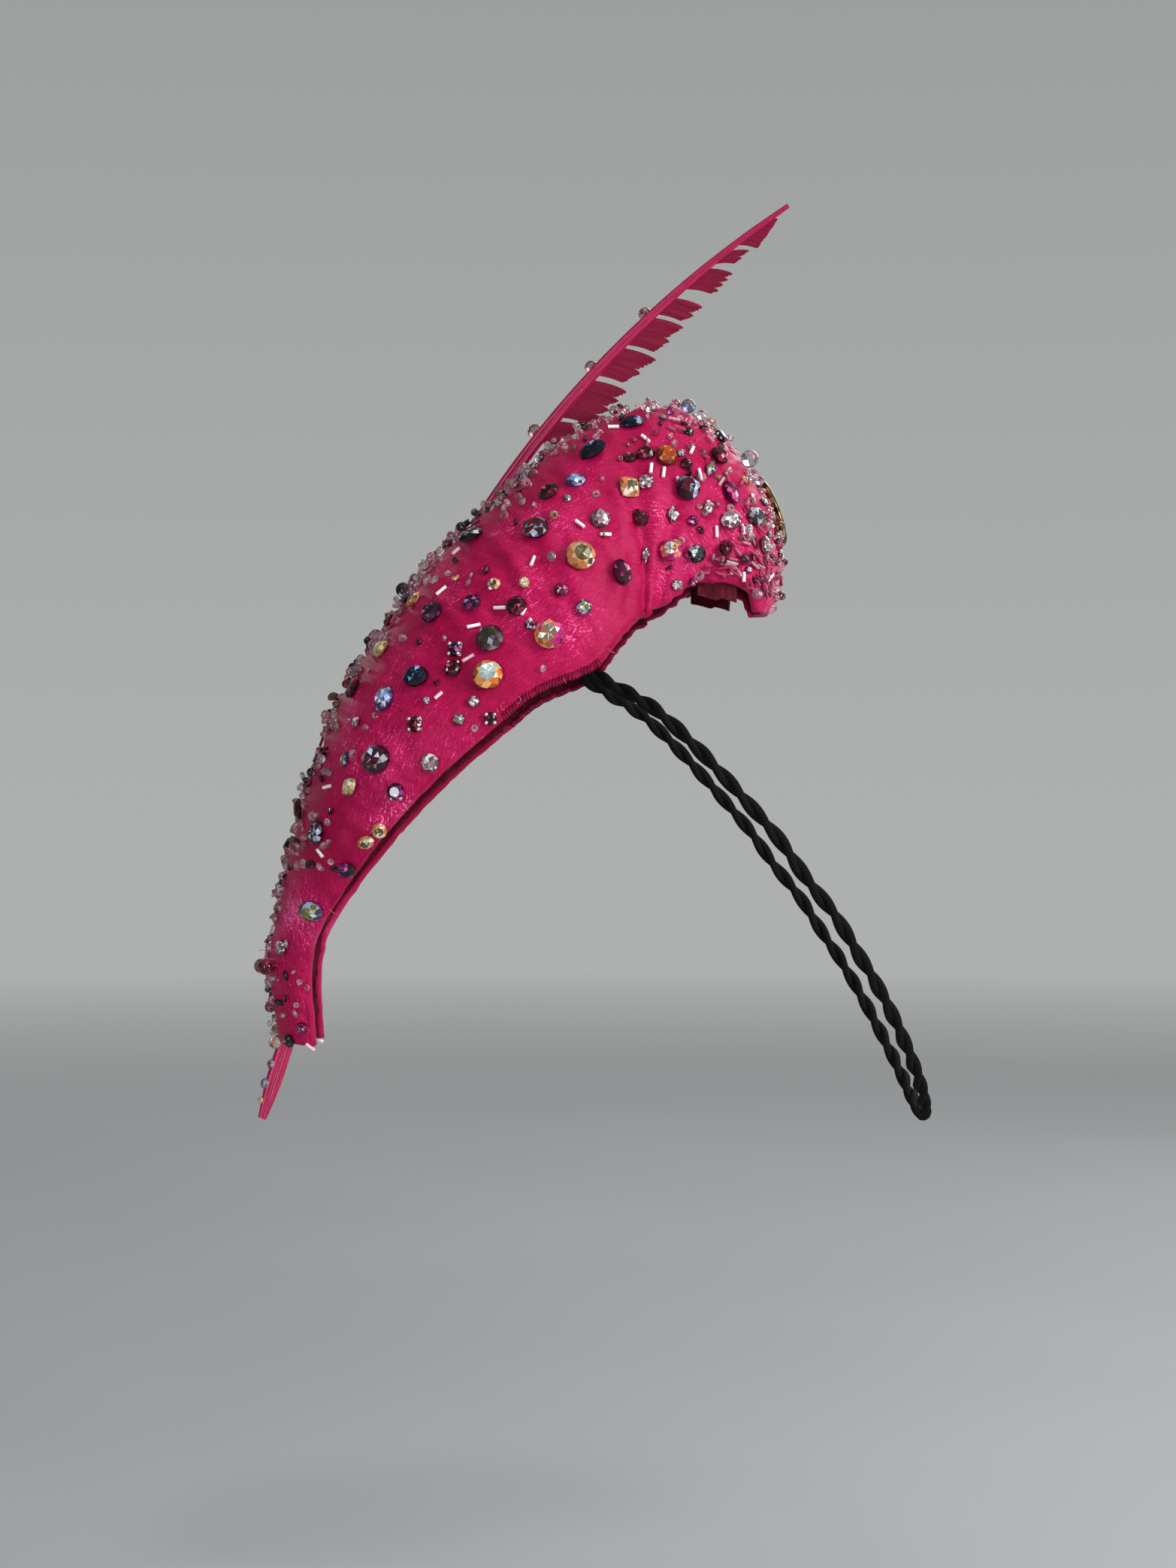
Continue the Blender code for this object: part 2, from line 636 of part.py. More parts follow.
def make_stone(name, outer, stone, materials):
    """Cut stone, or a bead, set on the satin with its table facing out."""
    hit, away = seat_frame(outer, stone)
    upward = Vector((0, 0, 1)) - away * away.z
    upward.normalize()
    across = upward.cross(away)
    spun = Matrix.Rotation(math.radians(stone.turn), 3, away)
    frame = Matrix((spun @ across, spun @ upward, away)).transposed()
    if stone.cut == "bead":
        make_bead(name, outer, stone, hit, away, frame, materials[stone.tint])
        return
    rings = stone_points(stone)
    backs = [hit + frame @ (point * share) for point in rings[0] for share in (0.0, 0.5, 1.0)]
    base = hit + away * seat_lift(outer, backs, away)
    points = [base + frame @ point for ring in rings for point in ring]
    wide = 2 * STONE_SIDES
    faces = [tuple(range(wide)), tuple(range(3 * wide, 3 * wide + STONE_SIDES))]
    for ring in range(2):
        for side in range(wide):
            following = (side + 1) % wide
            low = ring * wide
            faces.append((low + side, low + following, low + wide + following, low + wide + side))
    for side in range(STONE_SIDES):
        table = 3 * wide + side
        next_table = 3 * wide + (side + 1) % STONE_SIDES
        low = 2 * wide + 2 * side
        middle = 2 * wide + (2 * side + 1) % wide
        high = 2 * wide + (2 * side + 2) % wide
        faces += [(table, low, middle), (table, middle, next_table), (next_table, middle, high)]
    add_piece(name, points, faces, materials[stone.tint], smooth=False)


def make_bead(name, outer, stone, hit, away, frame, material):
    """Round bead with its foot on the satin."""
    radius = stone.width / 2
    centre = hit + away * (radius + GAP)
    for _ in range(SEAT_TRIES):
        nearest, _, _, distance = outer.find_nearest(centre)
        centre += (centre - nearest).normalized() * (radius + GAP - distance)
    points = [centre + frame @ Vector((0, 0, -radius))]
    for row in range(1, BEAD_ROWS):
        level = math.pi * row / BEAD_ROWS
        for side in range(BEAD_SIDES):
            turn = math.tau * side / BEAD_SIDES
            wide = math.sin(level) * radius
            ball = Vector((wide * math.cos(turn), wide * math.sin(turn), -math.cos(level) * radius))
            points.append(centre + frame @ ball)
    points.append(centre + frame @ Vector((0, 0, radius)))
    faces = []
    last = len(points) - 1
    for side in range(BEAD_SIDES):
        following = (side + 1) % BEAD_SIDES
        faces.append((0, 1 + side, 1 + following))
        faces.append((last, last - BEAD_SIDES + following, last - BEAD_SIDES + side))
        for row in range(BEAD_ROWS - 2):
            low = 1 + row * BEAD_SIDES
            high = low + BEAD_SIDES
            faces.append((low + side, low + following, high + following, high + side))
    add_piece(name, points, faces, material, smooth=False)


def main():
    for leftover in list(bpy.data.objects):
        bpy.data.objects.remove(leftover)
    outer = make_shell()
    make_lining("lining_left", -1)
    make_lining("lining_right", 1)
    make_feather(outer)
    make_ring(outer)
    make_elastic()
    materials = {tint: finish("glass_" + tint, colour, 0.08) for tint, colour in TINTS.items()}
    for number, stone in enumerate(STONES, 1):
        make_stone(f"crystal_{number:02d}", outer, stone, materials)


main()
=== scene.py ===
import json
import math
from bisect import bisect_right
from collections import namedtuple

import bmesh
import bpy
import numpy as np
from mathutils import Matrix, Vector
from mathutils.bvhtree import BVHTree

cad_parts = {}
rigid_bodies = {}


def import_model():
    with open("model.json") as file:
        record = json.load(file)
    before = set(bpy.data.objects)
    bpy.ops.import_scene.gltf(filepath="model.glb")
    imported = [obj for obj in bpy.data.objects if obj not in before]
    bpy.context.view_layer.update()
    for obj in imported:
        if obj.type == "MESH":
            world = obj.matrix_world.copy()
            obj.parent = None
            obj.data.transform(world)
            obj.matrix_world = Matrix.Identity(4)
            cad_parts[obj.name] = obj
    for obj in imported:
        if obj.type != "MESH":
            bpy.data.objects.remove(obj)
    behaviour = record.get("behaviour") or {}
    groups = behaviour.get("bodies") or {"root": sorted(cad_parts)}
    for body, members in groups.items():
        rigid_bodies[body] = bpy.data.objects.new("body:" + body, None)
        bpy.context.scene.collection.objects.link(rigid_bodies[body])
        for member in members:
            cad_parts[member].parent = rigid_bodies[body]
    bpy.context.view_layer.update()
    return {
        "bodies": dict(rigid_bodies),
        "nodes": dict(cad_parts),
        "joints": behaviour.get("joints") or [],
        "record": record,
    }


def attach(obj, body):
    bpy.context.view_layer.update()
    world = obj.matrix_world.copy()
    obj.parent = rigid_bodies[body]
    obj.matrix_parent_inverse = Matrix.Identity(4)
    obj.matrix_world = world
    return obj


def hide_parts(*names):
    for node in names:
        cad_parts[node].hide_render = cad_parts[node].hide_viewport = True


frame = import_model()
MM = 0.001


# Camera
# The cap is seen level, from its left side, with its peak to the left of the picture. One pixel of the
# 1565 by 2086 picture is 0.218 mm in the plane of the ridge.
VIEW_POINT = Vector((-16.9, -850.0, -53.8)) * MM
PICTURE_WIDTH = 1565 * 0.218 * MM
SENSOR_WIDTH = 36.0


def add_object(name, data):
    """Object for a mesh, a lamp or a camera, put into the scene."""
    made = bpy.data.objects.new(name, data)
    bpy.context.scene.collection.objects.link(made)
    return made


camera_data = bpy.data.cameras.new("camera")
camera_data.sensor_fit = "HORIZONTAL"
camera_data.sensor_width = SENSOR_WIDTH
camera_data.lens = SENSOR_WIDTH * -VIEW_POINT.y / PICTURE_WIDTH
camera = add_object("camera", camera_data)
camera.location = VIEW_POINT
camera.rotation_euler = (math.pi / 2, 0, 0)
bpy.context.scene.camera = camera
bpy.context.scene.view_settings.view_transform = "Standard"


# Elastic
# A millinery cord of rubber with a braided black cover, doubled and twisted on itself. It is caught inside
# the left hem, goes down and round behind in one loop, and comes up to the right hem.
ELASTIC_LEFT = [
    Vector((-0.0270, -0.0409, -0.0116)),
    Vector((-0.0220, -0.0416, -0.0172)),
    Vector((-0.0169, -0.0412, -0.0224)),
    Vector((-0.0096, -0.0482, -0.0269)),
    Vector((0.0003, -0.0578, -0.0329)),
    Vector((0.0093, -0.0630, -0.0411)),
    Vector((0.0180, -0.0668, -0.0502)),
    Vector((0.0261, -0.0692, -0.0593)),
    Vector((0.0341, -0.0696, -0.0687)),
    Vector((0.0413, -0.0684, -0.0790)),
    Vector((0.0492, -0.0656, -0.0890)),
    Vector((0.0555, -0.0618, -0.0991)),
    Vector((0.0615, -0.0566, -0.1086)),
    Vector((0.0674, -0.0492, -0.1194)),
    Vector((0.0726, -0.0400, -0.1302)),
    Vector((0.0766, -0.0284, -0.1396)),
    Vector((0.0790, -0.0150, -0.1466)),
    Vector((0.0798, 0.0000, -0.1492)),
]
ELASTIC_RIGHT = [Vector((point.x, -point.y, point.z)) for point in ELASTIC_LEFT[-2::-1]]
STRAND_RADIUS = 1.12 * MM
STRAND_OFFSET = 0.93 * MM
TWIST_PITCH = 20.5 * MM
ELASTIC_SPACING = 0.8 * MM
STRAND_SIDES = 10
BRAID_STRETCH = (900, 6, 1)
BRAID_SLANT = 0.6


def cubic_through(knots, values, at):
    """Value at one place on the smooth curve through values that stand at rising knots."""
    last = len(knots) - 1
    right = min(max(bisect_right(knots, at), 1), last)
    left = right - 1
    slopes = []
    for index in (left, right):
        before = max(index - 1, 0)
        after = min(index + 1, last)
        slopes.append((values[after] - values[before]) / (knots[after] - knots[before]))
    span = knots[right] - knots[left]
    t = (at - knots[left]) / span
    from_left = (1 + 2 * t) * (1 - t) ** 2
    from_right = t * t * (3 - 2 * t)
    bend = slopes[0] * (t * (1 - t) ** 2 * span) - slopes[1] * (t * t * (1 - t) * span)
    return values[left] * from_left + values[right] * from_right + bend


def lengths_along(points):
    """Distance of each point from the first, along the chords."""
    lengths = [0.0]
    for start, end in zip(points, points[1:]):
        lengths.append(lengths[-1] + (end - start).length)
    return lengths


def smooth_route(points, spacing):
    """Evenly spaced points on the smooth curve through a few."""
    knots = lengths_along(points)
    steps = max(round(knots[-1] / spacing), 2)
    return [cubic_through(knots, points, knots[-1] * step / steps) for step in range(steps + 1)]


def frames_along(route):
    """Two directions across a route at each point, carried along it without turning."""
    frames = []
    across = Vector((0, 0, 1))
    for index in range(len(route)):
        ahead = (route[min(index + 1, len(route) - 1)] - route[max(index - 1, 0)]).normalized()
        across = (across - ahead * across.dot(ahead)).normalized()
        frames.append((across.copy(), ahead.cross(across)))
    return frames


class Form:
    """Points, faces and the place of each face corner on the cloth, gathered until they are made a piece."""

    def __init__(self):
        self.points = []
        self.faces = []
        self.cloth = []

    def skin(self, rings, lengths, level=None, closed=False):
        """
        Skins rings of points one after another, each at its length on the cloth. All lie at one level
        where it is given. The two ends are capped, or the last ring is joined to the first.
        """
        first = len(self.points)
        sides = len(rings[0])
        for ring in rings:
            self.points += ring
        for index in range(len(rings) if closed else len(rings) - 1):
            after = (index + 1) % len(rings)
            low, high = first + index * sides, first + after * sides
            near, far = lengths[index], lengths[after]
            for side in range(sides):
                beside = (side + 1) % sides
                left, right = (side / sides, (side + 1) / sides) if level is None else (level, level)
                self.faces.append((low + side, low + beside, high + beside, high + side))
                self.cloth.append(((near, left), (near, right), (far, right), (far, left)))
        if not closed:
            last = first + (len(rings) - 1) * sides
            self.faces += [tuple(range(first, first + sides)), tuple(range(last, last + sides))]
            self.cloth += [((0.0, 0.0),) * sides] * 2

    def bar(self, route, radii, sides):
        """Skins a round bar along a route, with a radius for each of the route's points."""
        turns = [math.tau * side / sides for side in range(sides)]
        rings = []
        for centre, (across, beside), radius in zip(route, frames_along(route), radii):
            offsets = [(radius * math.cos(turn), radius * math.sin(turn)) for turn in turns]
            rings.append([centre + across * a + beside * b for a, b in offsets])
        self.skin(rings, lengths_along(route))

    def mesh(self, name, *materials, chart="cloth"):
        """Mesh in metres, with its cloth places as a UV map."""
        made = bpy.data.meshes.new(name)
        made.from_pydata([tuple(point) for point in self.points], [], self.faces)
        places = made.uv_layers.new(name=chart)
        places.data.foreach_set("uv", [value for face in self.cloth for corner in face for value in corner])
        for material in materials:
            made.materials.append(material)
        return made

    def piece(self, name, material, smooth=True, chart="cloth"):
        """Object at the origin whose mesh has its faces turned outward."""
        mesh = self.mesh(name, material, chart=chart)
        form = bmesh.new()
        form.from_mesh(mesh)
        bmesh.ops.recalc_face_normals(form, faces=form.faces)
        form.to_mesh(mesh)
        form.free()
        if smooth:
            mesh.shade_smooth()
        return add_object(name, mesh)


def add_node(tree, kind, inputs=(), **settings):
    """One node, with its inputs given by name or number as sockets to link or values to set."""
    made = tree.nodes.new(kind)
    for setting, value in settings.items():
        setattr(made, setting, value)
    for socket, value in dict(inputs).items():
        if isinstance(value, bpy.types.NodeSocket):
            tree.links.new(value, made.inputs[socket])
        else:
            made.inputs[socket].default_value = value
    return made


def colour_ramp(tree, factor, *stops):
    """Colour from a factor, through stops of place and colour."""
    made = add_node(tree, "ShaderNodeValToRGB", {0: factor})
    band = made.color_ramp
    while len(band.elements) < len(stops):
        band.elements.new(1.0)
    for element, (place, colour) in zip(band.elements, stops):
        element.position = place
        element.color = (*colour, 1)
    return made.outputs[0]


def new_material(name, roughness, **fixed):
    """Material, its node tree and its Principled shader, with fixed values on the shader's own sockets."""
    material = bpy.data.materials.new(name)
    material.use_nodes = True
    tree = material.node_tree
    shader = tree.nodes["Principled BSDF"]
    shader.inputs["Roughness"].default_value = roughness
    for socket, value in fixed.items():
        shader.inputs[socket.replace("_", " ")].default_value = value
    return material, tree, shader


def add_bump(tree, shader, height, strength, depth):
    """Relief from a height, with its depth in metres."""
    bump = add_node(tree, "ShaderNodeBump", {"Height": height, "Strength": strength, "Distance": depth})
    tree.links.new(bump.outputs[0], shader.inputs["Normal"])


def paint(tree, shader, factor, *stops):
    """Base colour from a factor, through stops of place and colour."""
    tree.links.new(colour_ramp(tree, factor, *stops), shader.inputs["Base Color"])


def on_object(tree):
    """Place on a piece in its own space."""
    return add_node(tree, "ShaderNodeTexCoord").outputs["Object"]


def on_cloth(tree, stretch=(1, 1, 1), turn=0.0):
    """Place on a piece's cloth, stretched and turned."""
    place = add_node(tree, "ShaderNodeUVMap", uv_map="cloth").outputs[0]
    return add_node(
        tree, "ShaderNodeMapping", {"Vector": place, "Scale": stretch, "Rotation": (0, 0, turn)}
    ).outputs[0]


def noise(tree, place, scale, detail=2.0):
    """Cloudy pattern over a place on a piece."""
    made = add_node(tree, "ShaderNodeTexNoise", {"Vector": place, "Scale": scale, "Detail": detail})
    return made.outputs[0]


def maths(tree, operation, *values, **settings):
    """Result of one sum on sockets or values."""
    made = add_node(tree, "ShaderNodeMath", dict(enumerate(values)), operation=operation, **settings)
    return made.outputs[0]


def between(tree, value, low, high):
    """Share of the way from a low value to a high one, from 0 to 1."""
    return add_node(tree, "ShaderNodeMapRange", {0: value, 1: low, 2: high}).outputs[0]


braid, tree, shader = new_material("black braid", 0.8, Specular_IOR_Level=0.06)
plaits = []
for turn in (BRAID_SLANT, -BRAID_SLANT):
    place = on_cloth(tree, BRAID_STRETCH, turn)
    wave = add_node(tree, "ShaderNodeTexWave", {"Vector": place, "Scale": 0.5}, bands_direction="X")
    plaits.append(wave.outputs[1])
plait = maths(tree, "MAXIMUM", *plaits)
paint(tree, shader, plait, (0.2, (0.002, 0.002, 0.0025)), (0.95, (0.010, 0.010, 0.011)))
add_bump(tree, shader, plait, 0.6, 0.15 * MM)

elastic_route = smooth_route(ELASTIC_LEFT + ELASTIC_RIGHT, ELASTIC_SPACING)
elastic_lengths = lengths_along(elastic_route)
elastic_form = Form()
for strand in range(2):
    strand_route = []
    for centre, (across, beside), at in zip(elastic_route, frames_along(elastic_route), elastic_lengths):
        turn = math.tau * at / TWIST_PITCH + math.pi * strand
        strand_route.append(centre + (across * math.cos(turn) + beside * math.sin(turn)) * STRAND_OFFSET)
    elastic_form.bar(strand_route, [STRAND_RADIUS] * len(strand_route), STRAND_SIDES)
elastic = elastic_form.piece("elastic_cord", braid)
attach(elastic, "root")
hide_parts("elastic")


# Floor and light
# A pale floor well below the cap fades into pale air. A broad window stands to the front right, narrow ones
# to the front and above, and a large one behind. Soft light from all round is stronger from the right, and
# small lamps make the glass glint.
FLOOR_HEIGHT = -290.0 * MM
FLOOR_REACH = 3.0
FLOOR_FADE = (0.7, FLOOR_REACH * 0.95)
floor_material, tree, shader = new_material("pale floor", 0.6)
place = on_object(tree)
paint(tree, shader, noise(tree, place, 3.0), (0.3, (0.40, 0.41, 0.415)), (0.7, (0.43, 0.44, 0.445)))
distance = add_node(tree, "ShaderNodeVectorMath", {0: place}, operation="LENGTH").outputs["Value"]
fade = add_node(tree, "ShaderNodeMapRange", {0: distance, 1: FLOOR_FADE[0], 2: FLOOR_FADE[1], 3: 1.0, 4: 0.0})
tree.links.new(fade.outputs[0], shader.inputs["Alpha"])
floor_mesh = bpy.data.meshes.new("floor")
floor_corners = [(-FLOOR_REACH, -FLOOR_REACH), (FLOOR_REACH, -FLOOR_REACH), (FLOOR_REACH, FLOOR_REACH)]
floor_corners.append((-FLOOR_REACH, FLOOR_REACH))
floor_mesh.from_pydata([(*corner, FLOOR_HEIGHT) for corner in floor_corners], [], [(0, 1, 2, 3)])
floor_mesh.materials.append(floor_material)
floor = add_object("floor", floor_mesh)

air = bpy.data.worlds.new("pale air")
air.use_nodes = True
bpy.context.scene.world = air
tree = air.node_tree
backdrop = tree.nodes["Background"]
direction = add_node(tree, "ShaderNodeTexCoord").outputs["Generated"]
direction = add_node(tree, "ShaderNodeSeparateXYZ", {0: direction}).outputs
pale = colour_ramp(
    tree, between(tree, direction["Z"], -0.3, 0.3),
    (0.0, (0.44, 0.45, 0.46)), (0.5, (0.42, 0.43, 0.425)), (1.0, (0.32, 0.335, 0.325)),
)
tree.links.new(pale, backdrop.inputs[0])
soft = colour_ramp(
    tree, between(tree, direction["X"], -1.0, 1.0),
    (0.0, (0.15, 0.16, 0.16)), (0.55, (0.27, 0.28, 0.29)), (1.0, (0.52, 0.53, 0.54)),
)
around = add_node(tree, "ShaderNodeBackground", {0: soft, 1: 1.0})
seen = add_node(tree, "ShaderNodeLightPath").outputs["Is Camera Ray"]
both = add_node(tree, "ShaderNodeMixShader", {0: seen, 1: around.outputs[0], 2: backdrop.outputs[0]})
tree.links.new(both.outputs[0], tree.nodes["World Output"].inputs[0])

Window = namedtuple("Window", "name place width height power colour")
WINDOWS = [
    Window("window_right", (1.0, -0.75, 0.40), 0.5, 0.9, 15.0, (1.0, 0.99, 0.97)),
    Window("window_front", (-0.45, -0.95, -0.10), 0.12, 0.5, 3.0, (0.97, 0.98, 1.0)),
    Window("window_above", (0.15, -0.45, 1.1), 0.2, 0.2, 2.0, (1.0, 0.99, 0.98)),
    Window("window_back", (0.5, 0.9, 0.6), 0.7, 0.7, 5.0, (0.96, 0.98, 1.0)),
]
GLINT_PLACES = [
    (0.2, -1.2, 0.9), (0.9, -1.0, -0.1), (-0.2, -1.3, -0.5), (0.5, -0.4, 1.2),
    (0.5, 1.1, 0.6), (-0.7, 1.0, 0.4), (1.3, 0.2, 0.3),
]
GLINT_SIZE = 0.05
GLINT_POWER = 0.35
for number, place in enumerate(GLINT_PLACES, 1):
    WINDOWS.append(Window(f"glint_{number}", place, GLINT_SIZE, GLINT_SIZE, GLINT_POWER, (1.0, 1.0, 1.0)))
CAP_MIDDLE = Vector((-35.0, 0.0, -20.0)) * MM
for window in WINDOWS:
    light = bpy.data.lights.new(window.name, "AREA")
    light.shape = "RECTANGLE"
    light.size = window.width
    light.size_y = window.height
    light.energy = window.power
    light.color = window.colour
    lamp = add_object(window.name, light)
    lamp.location = window.place
    lamp.rotation_euler = (Vector(window.place) - CAP_MIDDLE).to_track_quat("Z", "Y").to_euler()


# Satin shell
# One arch of stiffened base from the peak at the front to the curl at the back, covered in hot pink satin
# that is drawn tight and gathers into soft folds where the body meets the rear lobe. Sizes are in
# millimetres.
Section = namedtuple("Section", "ridge_x ridge_z hem_x hem_z half_width fullness")
SECTIONS = [
    Section(-106.3, -127.8, -95.6, -128.8, 13.0, 2.0),
    Section(-108.6, -114.2, -96.5, -116.4, 15.0, 2.0),
    Section(-109.0, -102.9, -96.2, -104.4, 18.0, 2.0),
    Section(-106.8, -91.3, -92.7, -93.9, 23.5, 2.1),
    Section(-101.2, -67.4, -75.0, -69.2, 40.0, 2.2),
    Section(-94.8, -46.7, -60.1, -53.0, 47.0, 2.3),
    Section(-87.2, -27.0, -46.2, -40.5, 50.0, 2.3),
    Section(-74.1, -7.0, -31.8, -28.5, 49.0, 2.3),
    Section(-58.4, 13.3, -16.8, -22.1, 47.0, 2.3),
    Section(-41.9, 29.0, -11.6, -17.5, 44.0, 2.3),
    Section(-24.0, 44.9, -6.6, -11.0, 38.0, 2.2),
    Section(-2.2, 54.7, 0.2, -5.1, 31.5, 2.1),
    Section(14.2, 52.3, 6.4, -1.3, 27.5, 2.1),
    Section(26.6, 40.5, 13.5, 3.3, 25.5, 2.1),
    Section(34.9, 27.0, 20.3, 4.0, 24.5, 2.1),
    Section(38.2, 13.3, 25.9, 2.6, 22.5, 2.1),
    Section(37.5, 3.5, 29.4, 0.4, 18.0, 2.0),
    Section(35.4, -5.2, 31.2, -4.8, 12.5, 2.0),
]
Fold = namedtuple("Fold", "along spread depth")
FOLDS = [
    Fold(219.0, 5.0, 3.2),
    Fold(232.0, 4.5, 2.2),
    Fold(262.0, 6.0, 1.2),
]
FOLD_BOW = 3.0
Crease = namedtuple("Crease", "x0 z0 x1 z1 x2 z2 spread depth")
CREASES = [
    Crease(-6.2, 23.0, -3.6, 8.0, -5.2, -2.5, 1.5, 1.1),
    Crease(-4.6, 19.0, -0.4, 8.0, -3.0, -1.0, 1.1, -0.8),
    Crease(3.7, 12.6, 7.4, 5.0, 0.6, 0.0, 1.1, -0.8),
    Crease(-42.6, 7.0, -39.5, 4.8, -36.0, 0.5, 1.6, 0.6),
    Crease(-26.5, 7.0, -24.0, 3.0, -22.0, -2.0, 1.6, 0.6),
    Crease(-16.8, -8.0, -15.2, -10.0, -13.8, -13.0, 1.2, 0.6),
    Crease(-16.0, 27.0, -10.0, 20.0, -9.0, 10.0, 2.6, 0.5),
    Crease(-36.0, 22.0, -31.0, 12.0, -28.0, 2.0, 3.0, 0.45),
    Crease(-52.0, 8.0, -44.0, -4.0, -40.0, -16.0, 3.4, 0.5),
    Crease(-66.0, -8.0, -58.0, -18.0, -53.0, -27.0, 3.2, 0.5),
    Crease(-80.0, -28.0, -72.0, -38.0, -66.0, -44.0, 3.0, 0.5),
    Crease(-92.0, -50.0, -86.0, -60.0, -80.0, -64.0, 2.6, 0.45),
    Crease(17.0, 50.0, 19.0, 38.0, 17.0, 24.0, 1.6, 0.8),
    Crease(25.0, 44.0, 25.5, 32.0, 22.5, 18.0, 1.4, 0.8),
    Crease(31.0, 34.0, 30.5, 24.0, 28.0, 12.0, 1.4, 0.7),
    Crease(12.0, 20.0, 10.0, 12.0, 10.5, 5.0, 1.5, 0.6),
    Crease(-10.5, 35.8, -3.4, 21.0, -5.6, 3.3, 2.2, -0.8),
    Crease(1.3, 32.0, 6.6, 21.0, 5.0, 9.0, 2.0, -0.8),
    Crease(-14.2, 20.7, -7.0, 11.0, -8.8, -4.3, 2.2, -0.8),
    Crease(12.0, 40.8, 20.4, 29.0, 22.0, 15.7, 1.9, -0.8),
    Crease(-45.5, 20.7, -36.0, 11.0, -34.2, -4.3, 2.6, -0.8),
    Crease(-28.0, 15.7, -18.4, 4.0, -15.5, -9.2, 2.4, -0.8),
    Crease(-62.0, 2.0, -52.0, -8.0, -47.0, -22.0, 2.6, -0.8),
    Crease(-88.0, -38.0, -80.0, -48.0, -74.0, -54.0, 2.4, -0.7),
]
CREASE_POINTS = 12
CREASE_END = 0.1
PUCKER_DEPTH = 0.22
WALL = 2.0
ARCH_STEPS = 142
RING_STEPS = 300
RIDGE_KNOTS = lengths_along([Vector((row.ridge_x, 0, row.ridge_z)) for row in SECTIONS])
RIDGE_LENGTH = RIDGE_KNOTS[-1]


def section_at(along):
    """The arch at a length along the ridge."""
    return Section(*(cubic_through(RIDGE_KNOTS, column, along) for column in zip(*SECTIONS)))


def arch_row(along, angles):
    """Points of one arch of the outer face; the angle is 0 on the ridge and a quarter turn at either hem."""
    section = section_at(along)
    power = 2 / section.fullness
    across = np.sin(angles)
    upward = np.maximum(np.cos(angles), 0.0) ** power
    foot = np.array((section.hem_x, 0.0, section.hem_z))
    top = np.array((section.ridge_x, 0.0, section.ridge_z))
    arm = (top - foot) * upward[:, None]
    arm[:, 1] = section.half_width * np.sign(across) * np.abs(across) ** power
    sunk = np.zeros(len(angles))
    for fold in FOLDS:
        bowed = fold.along + FOLD_BOW * np.sin(math.pi * upward)
        sunk += fold.depth * np.exp(-(((along - bowed) / fold.spread) ** 2)) * (1 - upward ** 2)
    return foot + arm * (1 - sunk / np.linalg.norm(arm, axis=1))[:, None]


def creased(rings):
    """
    The arches with their creases, which are drawn on the left side as it is seen and mirrored on the
    right, and with fine puckers from waves that don't fall into step.
    """
    outward = np.cross(np.gradient(rings, axis=0), np.gradient(rings, axis=1))
    outward /= np.linalg.norm(outward, axis=2, keepdims=True)
    eye = np.array(VIEW_POINT) / MM
    near = -eye[1] / (-eye[1] - np.abs(rings[:, :, 1]))
    seen_x = eye[0] + (rings[:, :, 0] - eye[0]) * near
    seen_z = eye[2] + (rings[:, :, 2] - eye[2]) * near
    sunk = np.zeros(seen_x.shape)
    for crease in CREASES:
        line = []
        for step in range(CREASE_POINTS + 1):
            t = step / CREASE_POINTS
            line.append((
                (1 - t) ** 2 * crease.x0 + 2 * t * (1 - t) * crease.x1 + t * t * crease.x2,
                (1 - t) ** 2 * crease.z0 + 2 * t * (1 - t) * crease.z1 + t * t * crease.z2,
                math.sin(math.pi * (CREASE_END + (1 - 2 * CREASE_END) * t)),
            ))
        depth = np.zeros(seen_x.shape)
        for x, z, share in line:
            distance = np.hypot(seen_x - x, seen_z - z)
            depth = np.maximum(depth, share * np.exp(-((distance / crease.spread) ** 2)))
        sunk += crease.depth * depth
    along, across = seen_x * 0.62 + seen_z, seen_x - seen_z * 0.62
    pucker = np.sin(along * 0.55 + 1.7 * np.sin(across * 0.16)) + np.sin(along * 0.9 + across * 0.23 + 2.0)
    pucker += np.sin(across * 0.7 + 1.3 * np.sin(along * 0.21)) + np.sin(along * 1.7 - across * 0.4)
    return rings - outward * (sunk + PUCKER_DEPTH / 2 * pucker)[:, :, None]


angles = np.linspace(-math.pi / 2, math.pi / 2, ARCH_STEPS + 1)
rings = np.array([arch_row(RIDGE_LENGTH * step / RING_STEPS, angles) for step in range(RING_STEPS + 1)])
rings = creased(rings)
satin_form = Form()
satin_form.points = [Vector(point) * MM for ring in rings for point in ring]
girths = np.concatenate(
    [np.zeros((RING_STEPS + 1, 1)), np.cumsum(np.linalg.norm(np.diff(rings, axis=1), axis=2), axis=1)], axis=1
)
girths -= girths[:, -1:] / 2
for ring in range(RING_STEPS):
    for step in range(ARCH_STEPS):
        corner = ring * (ARCH_STEPS + 1) + step
        satin_form.faces.append((corner, corner + ARCH_STEPS + 1, corner + ARCH_STEPS + 2, corner + 1))
        low = RIDGE_LENGTH * ring / RING_STEPS * MM
        high = RIDGE_LENGTH * (ring + 1) / RING_STEPS * MM
        satin_form.cloth.append((
            (low, girths[ring, step] * MM),
            (high, girths[ring + 1, step] * MM),
            (high, girths[ring + 1, step + 1] * MM),
            (low, girths[ring, step + 1] * MM),
        ))

